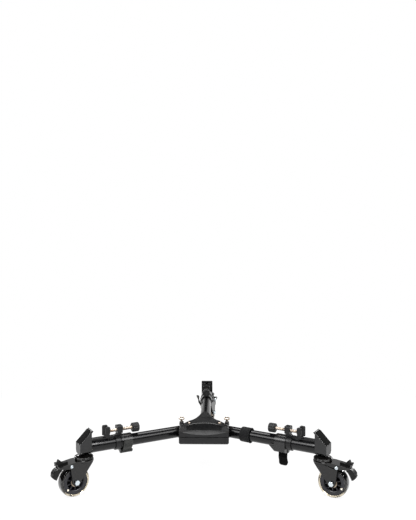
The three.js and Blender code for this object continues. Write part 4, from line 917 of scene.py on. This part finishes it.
def surround():
    """A white surround that the camera and glass see all round, and that polished surfaces see
    behind the object, as two panels up to a backdrop's height; the rest of the room is dark, and
    its fill is plain."""
    world = bpy.data.worlds.new("studio")
    world.use_nodes = True
    bpy.context.scene.world = world
    tree = world.node_tree
    view = node(tree, "TexCoord").outputs["Generated"]
    direction = node(tree, "SeparateXYZ", {"Vector": view}).outputs
    aside = node(tree, "Math", {0: direction["X"]}, operation="ABSOLUTE").outputs[0]
    panels = 1.0
    for value, ends in ((direction["Y"], PANELS_BACK), (aside, PANELS_ASIDE),
                        (direction["Z"], PANELS_TOP)):
        edge = node(tree, "MapRange", {"Value": value, "From Min": ends[0], "From Max": ends[1]})
        shared = node(tree, "Math", {0: edge.outputs[0], 1: panels}, operation="MULTIPLY")
        panels = shared.outputs[0]
    mirrored = node(tree, "MapRange", {"Value": panels, "To Min": ROOM_DARK, "To Max": BACKDROP})
    seen, glossy = sight(tree)
    white = (1, 1, 1, 1)
    fill, mirror, shown = (node(tree, "Background", {"Color": white, "Strength": strength})
                           for strength in (FILL, mirrored.outputs[0], 1.0))
    lit = node(tree, "MixShader", {0: glossy, 1: fill.outputs[0], 2: mirror.outputs[0]})
    whole = node(tree, "MixShader", {0: seen, 1: lit.outputs[0], 2: shown.outputs[0]})
    tree.links.new(whole.outputs[0], tree.nodes["World Output"].inputs["Surface"])


def floor():
    """A pale paper floor that keeps the object's shadow and runs out to white where it is looked
    at."""
    edge = FLOOR_HALF
    corners = [(-edge, -edge, 0), (edge, -edge, 0), (edge, edge, 0), (-edge, edge, 0)]
    mesh = bpy.data.meshes.new("floor")
    mesh.from_pydata(corners, [], [(0, 1, 2, 3)])
    ground = bpy.data.objects.new("floor", mesh)
    bpy.context.scene.collection.objects.link(ground)
    paper = bpy.data.materials.new("paper_sweep")
    paper.use_nodes = True
    tree = paper.node_tree
    base = tree.nodes["Principled BSDF"]
    base.inputs["Roughness"].default_value = 0.95
    base.inputs["Specular IOR Level"].default_value = 0.1
    where = node(tree, "TexCoord").outputs["Object"]
    fleck = node(tree, "TexNoise", {"Vector": where, "Scale": 1 / (FLECK * MM)})
    ramp = node(tree, "ValToRGB", {"Fac": fleck.outputs["Fac"]})
    for stop, shade in zip(ramp.color_ramp.elements, ("#f6f6f6", "#fafafa")):
        stop.color = hex_colour(shade)
    tree.links.new(ramp.outputs["Color"], base.inputs["Base Color"])
    reach = node(tree, "VectorMath", {0: where}, operation="LENGTH").outputs["Value"]
    away = node(tree, "MapRange", {"Value": reach, "From Min": FLOOR_FADE[0],
                                   "From Max": FLOOR_FADE[1], "To Min": FLOOR_WHITE})
    looked = node(tree, "Math", dict(enumerate(sight(tree))), operation="MAXIMUM")
    share = node(tree, "Math", {0: away.outputs[0], 1: looked.outputs[0]}, operation="MULTIPLY")
    white = node(tree, "Emission", {"Color": (1, 1, 1, 1), "Strength": 1.0})
    mixed = node(tree, "MixShader", {0: share.outputs[0], 1: base.outputs[0],
                                     2: white.outputs[0]})
    tree.links.new(mixed.outputs[0], tree.nodes["Material Output"].inputs["Surface"])
    mesh.materials.append(paper)


def lamps():
    """Soft rectangular lamps, each at its distance from a point over the object's middle, and
    turned to it."""
    for name, azimuth, elevation, distance, width, height, watts in LAMPS:
        a, e = math.radians(azimuth), math.radians(elevation)
        towards = Vector((math.sin(a) * math.cos(e), -math.cos(a) * math.cos(e), math.sin(e)))
        lamp = bpy.data.lights.new(name, "AREA")
        lamp.shape = "RECTANGLE"
        lamp.size = width
        lamp.size_y = height
        lamp.energy = watts
        holder = bpy.data.objects.new(name, lamp)
        holder.location = towards * distance + Vector(LAMPS_AIM)
        holder.rotation_euler = towards.to_track_quat("Z", "Y").to_euler()
        bpy.context.scene.collection.objects.link(holder)


def camera():
    """The photograph's viewpoint: 1.66 m in front of the point where the arms meet, 0.61 m up,
    looking slightly down and to the left."""
    data = bpy.data.cameras.new("camera")
    data.sensor_width = SENSOR
    data.lens = FOCAL_PIXELS / PHOTO_HEIGHT * SENSOR
    data.clip_start = 0.05
    eye = bpy.data.objects.new("camera", data)
    eye.location = HUB.points([EYE])[0].tolist()
    pitch = math.radians(PITCH)
    forward = turn_about_z(YAW) @ np.array([0, math.cos(pitch), -math.sin(pitch)])
    eye.rotation_euler = Vector(forward).to_track_quat("-Z", "Y").to_euler()
    bpy.context.scene.collection.objects.link(eye)
    bpy.context.scene.camera = eye


camera()
hub_pieces()
for side in ARMS:
    arm_pieces(side)
    caster_pieces(side)
strap_pieces()
surround()
floor()
lamps()
bpy.context.scene.view_settings.view_transform = "Standard"
